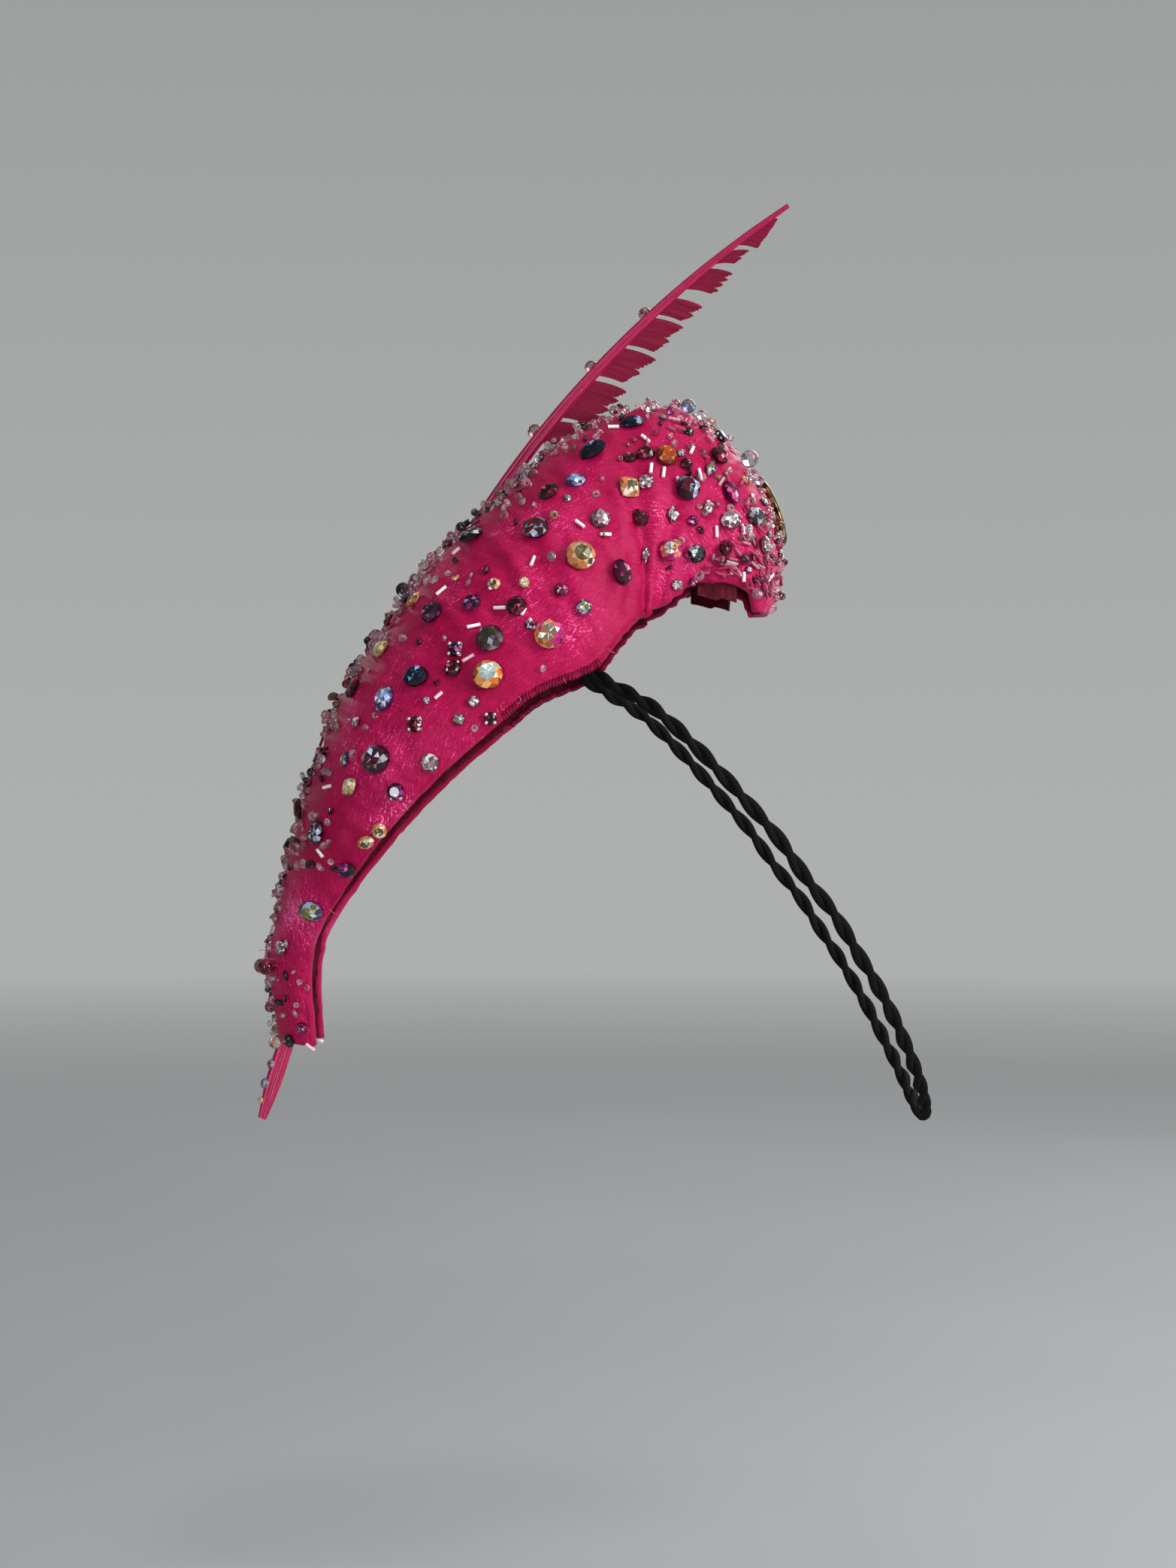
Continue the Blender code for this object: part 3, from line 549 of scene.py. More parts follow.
satin, tree, shader = new_material(
    "hot pink satin", 0.44, Specular_IOR_Level=0.35, Specular_Tint=(1.0, 0.3, 0.55, 1)
)
place = on_object(tree)
slub = noise(tree, on_cloth(tree, (1, 9, 1)), 260.0, 4.0)
# The finest grain is relief, and in the colour it also paints glints: tiny specks lifted into the palest
# stops.
grain_and_painted_glitter = noise(tree, on_cloth(tree), 1500.0)
tone = between(tree, maths(tree, "ADD", slub, noise(tree, place, 35.0)), 0.7, 1.3)
tone = between(tree, maths(tree, "MULTIPLY_ADD", grain_and_painted_glitter, 1.1, tone), 0.45, 1.75)
# Painted glints: bright specks in cloudy patches lift the colour towards the palest pink, as light catching
# the satin would.
patch = between(tree, noise(tree, place, 75.0, 3.0), 0.5, 0.66)
painted_speck = between(tree, noise(tree, place, 1300.0), 0.52, 0.72)
painted_sparkle = maths(tree, "MULTIPLY", patch, painted_speck)
paint(
    tree, shader, maths(tree, "MULTIPLY_ADD", painted_sparkle, 0.45, tone),
    (0.0, (0.30, 0.002, 0.040)), (0.45, (0.42, 0.005, 0.068)), (0.7, (0.54, 0.012, 0.105)),
    (0.85, (0.80, 0.08, 0.26)), (1.0, (0.95, 0.22, 0.46)),
)
add_bump(tree, shader, maths(tree, "ADD", slub, grain_and_painted_glitter), 0.5, 0.25 * MM)
# The lining colour is darkened to the colour it shows in shade, so part of its darkness is painted shade,
# inside the shell and on the strips under the curl.
lining_with_painted_shade, tree, shader = new_material("dark red lining with painted shade", 0.6, Specular_IOR_Level=0.15)
weave = noise(tree, on_object(tree), 900.0)
paint(tree, shader, weave, (0.3, (0.070, 0.001, 0.008)), (0.7, (0.13, 0.003, 0.018)))
add_bump(tree, shader, weave, 0.4, 0.2 * MM)

# The inner face of the wall takes the lining colour, with its painted shade.
shell_mesh = satin_form.mesh("satin_shell", satin, lining_with_painted_shade)
shell_mesh.shade_smooth()
shell = add_object("satin_shell", shell_mesh)
wall = shell.modifiers.new("wall", "SOLIDIFY")
wall.thickness = WALL * MM
wall.offset = -1
wall.material_offset = 1
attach(shell, "root")
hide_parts("cap_shell")


# Under strips
# Two short strips of dark red satin, folded and sewn inside the rear hem, that hang below the lifted curl.
# They follow the inside of the wall and then drop past the hem.
LINING_FROM = 260.0
LINING_TO = 286.0
LINING_STEPS = 26
LINING_ANGLES = (62.0, 68.0, 74.0, 80.0, 86.0)
LINING_GAP = 0.6
LINING_THICKNESS = 1.2
LINING_DROP = 7.2
LINING_DROP_STEPS = 6
LINING_LEAN = 0.6
LINING_RIPPLE = 0.07
LINING_RIPPLE_RATE = 1.1
LINING_RIPPLE_BEND = 2.6
LINING_EDGE_ANGLE = math.radians(50)


def arch_point(along, angle):
    """Point in millimetres on the outer face, with the angle in degrees from the ridge."""
    return Vector(arch_row(along, np.array([math.radians(angle)]))[0])


def outward_at(along, angle):
    """Direction out of the shell's outer face."""
    forward = arch_point(along + 0.5, angle) - arch_point(along - 0.5, angle)
    sideways = arch_point(along, angle + 0.5) - arch_point(along, angle - 0.5)
    return forward.cross(sideways).normalized()


# The strips take the lining colour, darkened as painted shade.
for name, side in (("under_strip_left", -1), ("under_strip_right", 1)):
    rows = []
    lengths = []
    for step in range(LINING_STEPS + 1):
        along = LINING_FROM + (LINING_TO - LINING_FROM) * step / LINING_STEPS
        ripple = LINING_RIPPLE * math.sin(step * LINING_RIPPLE_RATE) if 0 < step < LINING_STEPS else 0.0
        outer = []
        inner = []
        for angle in LINING_ANGLES:
            away = outward_at(along, side * angle)
            outer.append(arch_point(along, side * angle) - away * (WALL + LINING_GAP))
            inner.append(outer[-1] - away * LINING_THICKNESS)
        for edge in (outer, inner):
            start = edge[-1]
            for drop in range(1, LINING_DROP_STEPS + 1):
                share = drop / LINING_DROP_STEPS
                lean = LINING_LEAN * share - ripple * math.sin(share * LINING_RIPPLE_BEND)
                edge.append(start + Vector((0, -side * lean, -LINING_DROP * share)))
        rows.append([point * MM for point in outer + inner[::-1]])
        lengths.append(along * MM)
    strip_form = Form()
    strip_form.skin(rows, lengths)
    strip = strip_form.piece(name, lining_with_painted_shade)
    strip.data.set_sharp_from_angle(angle=LINING_EDGE_ANGLE)
    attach(strip, "root")
    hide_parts(name.replace("under_strip", "lining"))


# Feather
# One quill dyed pink and stripped but for clumps of barbs on its rear edge. It is sewn along the right side
# of the ridge, its cut end shows as a spike under the peak, and its tip stands free above the cap.
QUILL_RADIUS = 2.05
SEAT_GAP = 0.3
QUILL_LAID_FROM = 5.0
QUILL_LAID_TO = 152.0
QUILL_LAID_STEPS = 9
QUILL_DROP_AT_ENDS = 4.6
QUILL_DROP_DEEPEST = 9.0
QUILL_DEEPEST_AT = 100.0
SPIKE_TOP = Vector((-106.3, 11.5, -133.0))
SPIKE_END = Vector((-112.6, 10.5, -152.0))
SPIKE_TAPER = 14.0
SPIKE_END_RADIUS = 1.25
FREE_LENGTH = 144.0
FREE_HEADINGS = (59.5, 33.0)
FREE_STEPS = 12
FREE_TIP_Y = -2.0
TIP_RADIUS = 0.7
TAPER_POWER = 1.7
QUILL_SPACING = 2.0
SPIKE_SPREAD = 0.2
SPIKE_LENGTH = 34.0
QUILL_END_MARGIN = 1.0
SHAFT_EDGE_ANGLE = math.radians(60)
QUILL_PROFILE = [
    (1.0, 0.0), (0.92, 0.34), (0.62, 0.56), (0.3, 0.6), (0.12, 0.5), (-0.04, 0.42), (-0.2, 0.52),
    (-0.55, 0.58), (-0.9, 0.38), (-1.0, 0.0), (-0.9, -0.38), (-0.55, -0.58), (-0.2, -0.52), (-0.04, -0.42),
    (0.12, -0.5), (0.3, -0.6), (0.62, -0.56), (0.92, -0.34),
]
Clump = namedtuple("Clump", "from_tip span points reach last_reach")
CLUMPS = [
    Clump(6.0, 12.5, 1, 5.5, 5.5),
    Clump(21.5, 6.0, 2, 4.0, 4.8),
    Clump(29.5, 9.0, 4, 6.2, 7.8),
    Clump(42.5, 6.8, 2, 8.2, 8.2),
    Clump(51.0, 11.0, 2, 8.6, 9.3),
    Clump(63.5, 10.8, 2, 10.1, 9.2),
    Clump(76.5, 14.2, 4, 10.5, 10.1),
    Clump(92.5, 8.0, 2, 9.4, 8.4),
]
BARB_LEAN = 4.6
BARB_BEND = 0.45
BARB_PITCH = 0.42
BARB_WIDTH = 0.8
BARB_TIP_WIDTH = 0.5
BARB_TIP_FROM = 0.9
BARB_ROOT_THICKNESS = 0.104
BARB_TIP_THICKNESS = 0.04
BARB_STEPS = 8
BARB_STEP_BACK = 0.16
BARB_UNEVEN = 0.03
BARB_WAVE = 0.25
BARB_SLIT = 0.45
BARB_SLIT_FADE = 1.6
BARB_SHORTEST = 0.25

shell_points = [Vector(point) for ring in rings for point in ring]
satin_surface = BVHTree.FromPolygons(shell_points, satin_form.faces)
laid = []
deepest = (QUILL_DEEPEST_AT - QUILL_LAID_FROM) / (QUILL_LAID_TO - QUILL_LAID_FROM)
for step in range(QUILL_LAID_STEPS + 1):
    share = step / QUILL_LAID_STEPS
    along = QUILL_LAID_FROM + (QUILL_LAID_TO - QUILL_LAID_FROM) * share
    sink = math.sin(math.pi * share ** (math.log(0.5) / math.log(deepest)))
    drop = QUILL_DROP_AT_ENDS + (QUILL_DROP_DEEPEST - QUILL_DROP_AT_ENDS) * sink
    section = section_at(along)
    depth = math.hypot(section.ridge_x - section.hem_x, section.ridge_z - section.hem_z)
    angle = math.degrees(math.acos((1 - drop / depth) ** (section.fullness / 2)))
    laid.append(arch_point(along, angle) + outward_at(along, angle) * (QUILL_RADIUS + SEAT_GAP))
free = [laid[-1].copy()]
stride = FREE_LENGTH / FREE_STEPS
across = (FREE_TIP_Y - laid[-1].y) / FREE_STEPS
for step in range(FREE_STEPS):
    share = (step + 0.5) / FREE_STEPS
    heading = math.radians(FREE_HEADINGS[0] + (FREE_HEADINGS[1] - FREE_HEADINGS[0]) * share)
    free.append(free[-1] + Vector((stride * math.cos(heading), across, stride * math.sin(heading))))
quill_centres = smooth_route([SPIKE_END, SPIKE_TOP, *laid, *free[1:]], QUILL_SPACING)
for centre in quill_centres:
    nearest, _, _, distance = satin_surface.find_nearest(centre)
    if distance < QUILL_RADIUS + SEAT_GAP and nearest.y > 1:
        centre += (centre - nearest).normalized() * (QUILL_RADIUS + SEAT_GAP - distance)
quill_knots = lengths_along(quill_centres)
quill_length = quill_knots[-1]


def quill_radius(from_end):
    """Radius at a distance from the spike's end: blunt at the spike, slender at the tip."""
    spike = min(from_end / SPIKE_TAPER, 1.0)
    low = SPIKE_END_RADIUS + (QUILL_RADIUS - SPIKE_END_RADIUS) * math.sin(spike * math.pi / 2)
    free_share = max(from_end - (quill_length - FREE_LENGTH), 0.0) / FREE_LENGTH
    return low - (QUILL_RADIUS - TIP_RADIUS) * free_share ** TAPER_POWER


def quill_frame(at):
    """Place on the quill with its directions ahead, to the rear and to the side."""
    place = cubic_through(quill_knots, quill_centres, at)
    before, after = (cubic_through(quill_knots, quill_centres, at + step) for step in (-1, 1))
    ahead = (after - before).normalized()
    rear = Vector((ahead.z, 0, -ahead.x)).normalized()
    return place, ahead, rear, rear.cross(ahead)


shaft_pink, tree, shader = new_material(
    "dyed quill", 0.36, Coat_Weight=0.25, Coat_Roughness=0.25, Specular_Tint=(1.0, 0.5, 0.7, 1)
)
fibre = noise(tree, on_cloth(tree, (120, 14, 1)), 1.5, 4.0)
paint(
    tree, shader, fibre,
    (0.3, (0.30, 0.005, 0.045)), (0.55, (0.42, 0.010, 0.078)), (0.75, (0.58, 0.03, 0.14)),
)
add_bump(tree, shader, fibre, 0.15, 0.1 * MM)
barb_crimson, tree, shader = new_material(
    "dyed barbs", 0.55, Sheen_Weight=0.15, Specular_Tint=(1.0, 0.3, 0.5, 1)
)
streak = noise(tree, on_cloth(tree, (40, 900, 1)), 1.0, 3.0)
paint(
    tree, shader, streak,
    (0.3, (0.14, 0.001, 0.016)), (0.6, (0.23, 0.003, 0.030)), (0.8, (0.34, 0.008, 0.055)),
)

rows = []
lengths = []
steps = round(quill_length / QUILL_SPACING)
for step in range(steps + 1):
    at = quill_length * step / steps
    inside = min(max(at, QUILL_END_MARGIN), quill_length - QUILL_END_MARGIN)
    _, _, rear, beside = quill_frame(inside)
    radius = quill_radius(at)
    spread = SPIKE_SPREAD * math.sin(math.pi * min(at / SPIKE_LENGTH, 1.0)) if at < SPIKE_LENGTH else 0.0
    place = cubic_through(quill_knots, quill_centres, at) - rear * spread * radius
    rows.append([(place + (rear * a * (1 + spread) + beside * b) * radius) * MM for a, b in QUILL_PROFILE])
    lengths.append(at * MM)
shaft_form = Form()
shaft_form.skin(rows, lengths)
shaft = shaft_form.piece("quill_shaft", shaft_pink)
shaft.data.set_sharp_from_angle(angle=SHAFT_EDGE_ANGLE)
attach(shaft, "root")
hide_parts("feather")

chance = np.random.default_rng(7)
vane_form = Form()
for clump in CLUMPS:
    count = round(clump.span / BARB_PITCH)
    for index in range(count):
        share = (index + 0.5) / count
        tooth = share * clump.points % 1.0
        slit = 0.0
        if clump.points > 1 and 0 < round(share * clump.points) < clump.points:
            from_slit = (share * clump.points - round(share * clump.points)) * clump.span / clump.points
            slit = math.copysign(BARB_SLIT, from_slit) * max(1 - abs(from_slit) / BARB_SLIT_FADE, 0.0)
        reach = clump.reach + (clump.last_reach - clump.reach) * share
        reach *= 1.04 - BARB_STEP_BACK * tooth + chance.uniform(-BARB_UNEVEN, BARB_UNEVEN)
        if clump.points == 1:
            reach *= BARB_SHORTEST + (1 - BARB_SHORTEST) * share
        at = quill_length - clump.from_tip - clump.span * share
        place, ahead, rear, beside = quill_frame(at)
        root = quill_radius(at) * 0.5
        lean = BARB_LEAN * reach / clump.reach
        rows = []
        for step in range(BARB_STEPS + 1):
            t = step / BARB_STEPS
            centre = place + rear * (root + (reach - root) * t)
            centre += ahead * (lean * ((1 + BARB_BEND) * t - BARB_BEND * t * t) - slit * t * t)
            centre += beside * (BARB_WAVE * math.sin(share * 9 + t * 2.0) * t)
            tip = max(t - BARB_TIP_FROM, 0.0) / (1 - BARB_TIP_FROM)
            half = BARB_WIDTH / 2 * (1 - (1 - BARB_TIP_WIDTH) * tip)
            thick = (BARB_ROOT_THICKNESS + (BARB_TIP_THICKNESS - BARB_ROOT_THICKNESS) * t) / 2
            corners = (ahead * half, beside * thick, ahead * -half, beside * -thick)
            rows.append([(centre + corner) * MM for corner in corners])
        lengths = [reach * step / BARB_STEPS * MM for step in range(BARB_STEPS + 1)]
        vane_form.skin(rows, lengths, level=(clump.from_tip + clump.span * share) * MM)
vane = vane_form.piece("feather_barbs", barb_crimson, smooth=False)
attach(vane, "root")
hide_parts("feather")


# Gold ring
# An open oval ring of cast metal with one bar across, finished in antique gold and sewn by the bar to the
# back of the curl, just right of the ridge.
RING_ALONG = 275.5
RING_ANGLE = 13.0
RING_HALF_LENGTH = 9.4
RING_HALF_WIDTH = 6.6
RING_WIRE_RADIUS = 1.1
OVAL_STEPS = 72
RING_WIRE_SIDES = 14
RING_BAR_RADIUS = 0.8
RING_BAR_SIDES = 10
RING_BAR_PLACES = (-1.0, -0.5, 0.0, 0.5, 1.0)
RING_LIFT_TRIES = 6


def seat_lift(points, away, clear, tries):
    """How far the points have to move out for the nearest of them to clear the satin."""
    lift = 0.0
    for _ in range(tries):
        heights = []
        for point in points:
            nearest, normal, _, distance = satin_surface.find_nearest(point + away * lift)
            heights.append(math.copysign(distance, (point + away * lift - nearest).dot(normal)))
        lift += clear - min(heights)
    return lift


antique_gold, tree, shader = new_material("antique gold", 0.22, Metallic=1.0)
patina = noise(tree, on_object(tree), 420.0, 5.0)
paint(
    tree, shader, patina,
    (0.35, (0.025, 0.014, 0.005)), (0.55, (0.22, 0.13, 0.04)), (0.75, (0.70, 0.50, 0.20)),
)
add_bump(tree, shader, patina, 0.25, 0.1 * MM)

place = arch_point(RING_ALONG, RING_ANGLE)
away = outward_at(RING_ALONG, RING_ANGLE)
lengthwise = (arch_point(RING_ALONG + 1, RING_ANGLE) - arch_point(RING_ALONG - 1, RING_ANGLE)).normalized()
across = away.cross(lengthwise).normalized()
oval = []
outward = []
for step in range(OVAL_STEPS):
    turn = math.tau * step / OVAL_STEPS
    aside = lengthwise * (RING_HALF_LENGTH * math.cos(turn)) + across * (RING_HALF_WIDTH * math.sin(turn))
    out = lengthwise * (RING_HALF_WIDTH * math.cos(turn)) + across * (RING_HALF_LENGTH * math.sin(turn))
    oval.append(place + aside)
    outward.append(out.normalized())
bar_line = [place + across * (RING_HALF_WIDTH * share) for share in RING_BAR_PLACES]
lift = seat_lift(oval + bar_line, away, RING_WIRE_RADIUS + SEAT_GAP, RING_LIFT_TRIES)
wire_turns = [math.tau * side / RING_WIRE_SIDES for side in range(RING_WIRE_SIDES)]
rows = []
for point, out in zip(oval, outward):
    edges = [(math.cos(turn) * out + math.sin(turn) * away) * RING_WIRE_RADIUS for turn in wire_turns]
    rows.append([(point + away * lift + edge) * MM for edge in edges])
ring_form = Form()
ring_form.skin(rows, [0.0] * OVAL_STEPS, closed=True)
ring_bar = [(point + away * lift) * MM for point in bar_line]
ring_form.bar(ring_bar, [RING_BAR_RADIUS * MM] * len(ring_bar), RING_BAR_SIDES)
gold_ring = ring_form.piece("oval_ring", antique_gold)
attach(gold_ring, "root")
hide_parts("gold_ring")


# Cut stones
# The main stones are flat-backed cut glass with a foiled back, sewn on one by one. Each has a table with
# eight star facets round it, eight kites and sixteen girdle facets. Each facet has its own place in the
# stone's colours, and these paint the light on it: painted shade on most facets and round the girdle,
# painted reflections that flash in a narrow fan to one side, and painted glints on a few facets at random.
Stone = namedtuple("Stone", "x z width height cut turn tint cup", defaults=(False,))
STONES = [
    Stone(-46.0, -22.5, 8.3, 8.3, "round", 0, "aurora_amber"),
    Stone(-45.0, -12.0, 7.8, 7.8, "round", 0, "jet_green"),
    Stone(-28.0, -10.5, 8.3, 8.3, "round", 0, "aurora"),
    Stone(-19.5, 12.0, 8.3, 8.3, "round", 0, "peach"),
    Stone(-32.0, 20.0, 7.4, 7.4, "round", 0, "jet_aurora"),
    Stone(-7.5, 7.5, 6.1, 7.6, "oval", 10, "ruby_plum"),
    Stone(7.5, 13.5, 6.5, 6.5, "round", 0, "aurora"),
    Stone(14.5, 13.0, 5.2, 5.2, "round", 0, "smoke"),
    Stone(12.0, 32.0, 6.8, 7.8, "oval", 0, "jet_aurora"),
    Stone(5.5, 41.0, 6.5, 6.5, "round", 0, "amber"),
    Stone(-15.0, 42.5, 8.1, 5.7, "oval", 30, "navy"),
    Stone(-4.0, 50.5, 7.0, 4.8, "oval", 10, "navy"),
    Stone(-20.5, 34.0, 5.7, 4.4, "oval", 0, "clear_blue"),
    Stone(-5.5, 32.0, 6.1, 5.7, "cushion", 0, "peach"),
    Stone(-28.0, 30.5, 6.1, 4.8, "oval", 30, "ruby"),
    Stone(-13.5, 23.0, 5.5, 5.5, "round", 0, "clear"),
    Stone(-37.5, -2.5, 5.7, 5.7, "round", 0, "ruby"),
    Stone(-50.5, -1.5, 5.2, 5.2, "round", 0, "plum"),
    Stone(-61.5, -4.5, 7.0, 6.1, "oval", 0, "plum"),
    Stone(-50.5, 17.0, 7.4, 5.2, "oval", 40, "jet"),
    Stone(-66.5, -23.5, 7.0, 7.0, "round", 0, "navy"),
    Stone(-75.5, -29.5, 6.1, 7.4, "oval", 0, "clear_blue"),
    Stone(-76.5, -15.0, 5.2, 5.2, "cushion", 0, "foil"),
    Stone(-56.0, -20.5, 4.8, 4.8, "round", 0, "ruby"),
    Stone(-78.0, -47.0, 8.1, 8.1, "round", 0, "jet_aurora"),
    Stone(-62.5, -47.5, 5.2, 5.2, "round", 0, "clear"),
    Stone(-72.5, -56.0, 4.8, 4.8, "round", 0, "plum"),
    Stone(-84.0, -25.5, 6.5, 4.4, "cushion", 60, "ruby"),
    Stone(-99.5, -61.0, 5.2, 6.1, "oval", 0, "ruby"),
    Stone(-95.0, -68.0, 5.5, 7.0, "oval", 0, "jet_aurora"),
    Stone(-87.0, -78.5, 5.7, 4.8, "oval", 0, "plum"),
    Stone(-97.0, -90.5, 7.8, 6.1, "oval", 0, "aurora_yellow"),
    Stone(24.0, 21.5, 5.7, 5.7, "round", 0, "clear"),
    Stone(23.0, 14.5, 3.9, 5.2, "pear", 0, "ruby"),
    Stone(31.5, 23.5, 5.7, 5.7, "round", 0, "smoke"),
    Stone(24.0, 30.0, 5.2, 7.8, "pear", 0, "fuchsia"),
    Stone(21.0, 41.0, 5.2, 6.1, "oval", 0, "ruby"),
    Stone(29.5, 40.0, 5.2, 5.2, "bead", 0, "clear"),
    Stone(-108.0, -106.5, 4.8, 4.8, "bead", 0, "ruby"),
    Stone(-70.5, 2.5, 4.4, 4.4, "bead", 0, "jet"),
]
STONE_DEPTH = 0.38
STONE_GAP = 0.05
STONE_BACK_SCALE = 0.86
GIRDLE_LOW = 0.16
GIRDLE_HIGH = 0.4
STAR_SCALE = 0.8
STAR_LEVEL = 0.76
TABLE_SCALE = 0.58
HEART_SCALE = 0.25
CUSHION_POWER = 5
PEAR_SHOULDER = 0.1
NAVETTE_PINCH = 0.34
SEAT_TRIES = 5
EYE = VIEW_POINT / MM
SIGHT_PASSES = (-60, 20)
FINE_BALL = (20, 12)
SMALL_BALL = (12, 7)
GIRDLE_FACETS = 16
STARS = 8
# Shares of the colours for each kind of facet, from dark to bright. The dark ends are painted shade, as in
# the dark ring round the girdle, and the bright ends are painted reflections.
BACK_TONE = 0.1
UNDER_TONE = 0.04
GIRDLE_TONES = (0.0, 0.24)
HALF_TONES = ((0.03, 0.40), (0.08, 0.42))
KITE_TONES = (0.12, 0.44)
STAR_TONES = (0.2, 0.95)
TABLE_TONES = (0.54, 1.0)
INNER_TABLE_TONES = (0.62, 0.9)
HEART_TONES = (0.56, 0.74)
HALF_TURN = 0.2
KITE_TURN = 0.4
# Fans of painted reflection round each stone, each turned from a random aim, with its strength and
# narrowness.
Flash = namedtuple("Flash", "turn strength sharpness")
PAINTED_FLASHES = [
    Flash(0.0, 1.0, 20),
    Flash(0.95, 0.6, 30),
    Flash(math.pi, 0.3, 30),
]
PAINTED_FLASH_GAIN = 1.25
STRAY_PAINTED_FLASH = 0.7
STRAY_CHANCE = 0.06
PAINTED_GLINT_SPREAD = 1.6
# Each tint has dark, middle and bright colours for the rim and for the table. The bright ones paint
# reflections and glints, the dark ones partly paint shade, and the first number sets how many painted glints
# fall on facets at random.
TINT_STOPS = (0.0, 0.24, 0.44, 0.52, 0.8, 1.0)
BALL_STOPS = (0.36, 0.48, 0.6)
Tint = namedtuple("Tint", "name fire rim table")
TINTS = [
    Tint("aurora_amber", 0.16, ((0.06, 0.012, 0.006), (0.7, 0.16, 0.02), (0.95, 0.6, 0.22)),
         ((0.22, 0.3, 0.3), (0.55, 0.66, 0.66), (0.95, 0.97, 0.95))),
    Tint("jet_green", 0.06, ((0.02, 0.005, 0.008), (0.06, 0.02, 0.03), (0.32, 0.24, 0.3)),
         ((0.04, 0.035, 0.01), (0.006, 0.007, 0.02), (0.3, 0.34, 0.42))),
    Tint("aurora", 0.22, ((0.05, 0.0, 0.05), (0.6, 0.02, 0.2), (0.9, 0.4, 0.12)),
         ((0.45, 0.12, 0.01), (0.1, 0.15, 0.14), (0.95, 0.97, 0.9))),
    Tint("peach", 0.12, ((0.22, 0.04, 0.015), (0.62, 0.24, 0.09), (0.95, 0.85, 0.72)),
         ((0.05, 0.042, 0.012), (0.13, 0.1, 0.04), (0.9, 0.85, 0.7))),
    Tint("jet_aurora", 0.08, ((0.002, 0.0, 0.002), (0.03, 0.002, 0.015), (0.5, 0.6, 0.8)),
         ((0.12, 0.005, 0.008), (0.005, 0.005, 0.014), (0.6, 0.76, 0.98))),
    Tint("ruby_plum", 0.06, ((0.01, 0.0, 0.006), (0.05, 0.001, 0.02), (0.5, 0.04, 0.2)),
         ((0.015, 0.0, 0.006), (0.08, 0.003, 0.03), (0.75, 0.3, 0.5))),
    Tint("smoke", 0.1, ((0.006, 0.003, 0.005), (0.025, 0.018, 0.025), (0.5, 0.46, 0.5)),
         ((0.015, 0.02, 0.025), (0.06, 0.07, 0.085), (0.75, 0.8, 0.85))),
    Tint("amber", 0.12, ((0.05, 0.006, 0.001), (0.28, 0.03, 0.004), (0.65, 0.2, 0.03)),
         ((0.2, 0.02, 0.003), (0.4, 0.07, 0.006), (0.85, 0.4, 0.1))),
    Tint("navy", 0.06, ((0.0, 0.0, 0.002), (0.002, 0.002, 0.01), (0.04, 0.08, 0.26)),
         ((0.001, 0.001, 0.004), (0.004, 0.005, 0.016), (0.25, 0.4, 0.8))),
    Tint("clear_blue", 0.1, ((0.02, 0.004, 0.03), (0.05, 0.035, 0.13), (0.5, 0.65, 0.95)),
         ((0.08, 0.1, 0.26), (0.35, 0.44, 0.75), (1.0, 1.0, 1.0))),
    Tint("ruby", 0.07, ((0.008, 0.0, 0.001), (0.035, 0.001, 0.005), (0.45, 0.015, 0.07)),
         ((0.006, 0.0, 0.001), (0.04, 0.001, 0.005), (0.7, 0.1, 0.2))),
    Tint("clear", 0.14, ((0.03, 0.004, 0.01), (0.18, 0.06, 0.09), (0.92, 0.88, 0.9)),
         ((0.08, 0.03, 0.045), (0.4, 0.32, 0.36), (1.0, 1.0, 1.0))),
    Tint("plum", 0.12, ((0.003, 0.0, 0.002), (0.02, 0.001, 0.016), (0.32, 0.03, 0.2)),
         ((0.006, 0.0, 0.004), (0.03, 0.002, 0.02), (0.55, 0.16, 0.42))),
    Tint("jet", 0.06, ((0.001, 0.0, 0.001), (0.006, 0.004, 0.006), (0.1, 0.08, 0.1)),
         ((0.002, 0.001, 0.002), (0.01, 0.008, 0.012), (0.4, 0.36, 0.4))),
    Tint("foil", 0.14, ((0.1, 0.05, 0.015), (0.42, 0.27, 0.1), (0.95, 0.85, 0.6)),
         ((0.35, 0.25, 0.12), (0.75, 0.62, 0.38), (1.0, 0.97, 0.88))),
    Tint("aurora_yellow", 0.14, ((0.015, 0.01, 0.03), (0.07, 0.055, 0.13), (0.5, 0.55, 0.75)),
         ((0.12, 0.11, 0.02), (0.22, 0.2, 0.05), (0.85, 0.88, 0.8))),
    Tint("fuchsia", 0.08, ((0.02, 0.0, 0.008), (0.12, 0.002, 0.045), (0.8, 0.12, 0.38)),
         ((0.05, 0.001, 0.02), (0.16, 0.005, 0.06), (0.95, 0.5, 0.66))),
]
TINT_PAINTED_GLINTS = {tint.name: tint.fire for tint in TINTS}


def stone_glass(tint):
    """Foiled glass; the first coordinate of the facet map gives a facet's place in the stone's colours, whose
    dark stops paint shade and bright stops paint reflections and glints.
    """
    glass, tree, shader = new_material("glass_" + tint.name, 0.08, Specular_IOR_Level=0.5)
    chart = add_node(tree, "ShaderNodeUVMap", uv_map="facet").outputs[0]
    share = add_node(tree, "ShaderNodeSeparateXYZ", {0: chart}).outputs["X"]
    glint = maths(tree, "MULTIPLY_ADD", noise(tree, on_object(tree), 900.0), 0.14, -0.07)
    share = maths(tree, "ADD", share, glint, use_clamp=True)
    paint(tree, shader, share, *zip(TINT_STOPS, tint.rim + tint.table))
    return glass


def ball_glass(tint):
    """Clear glass for round beads, clouded in three colours of a tint."""
    glass, tree, shader = new_material("ball_glass_" + tint.name, 0.04, Transmission_Weight=0.9, IOR=1.5)
    cloud = noise(tree, on_object(tree), 400.0)
    paint(tree, shader, cloud, *zip(BALL_STOPS, (tint.rim[1], tint.rim[2], tint.table[2])))
    return glass


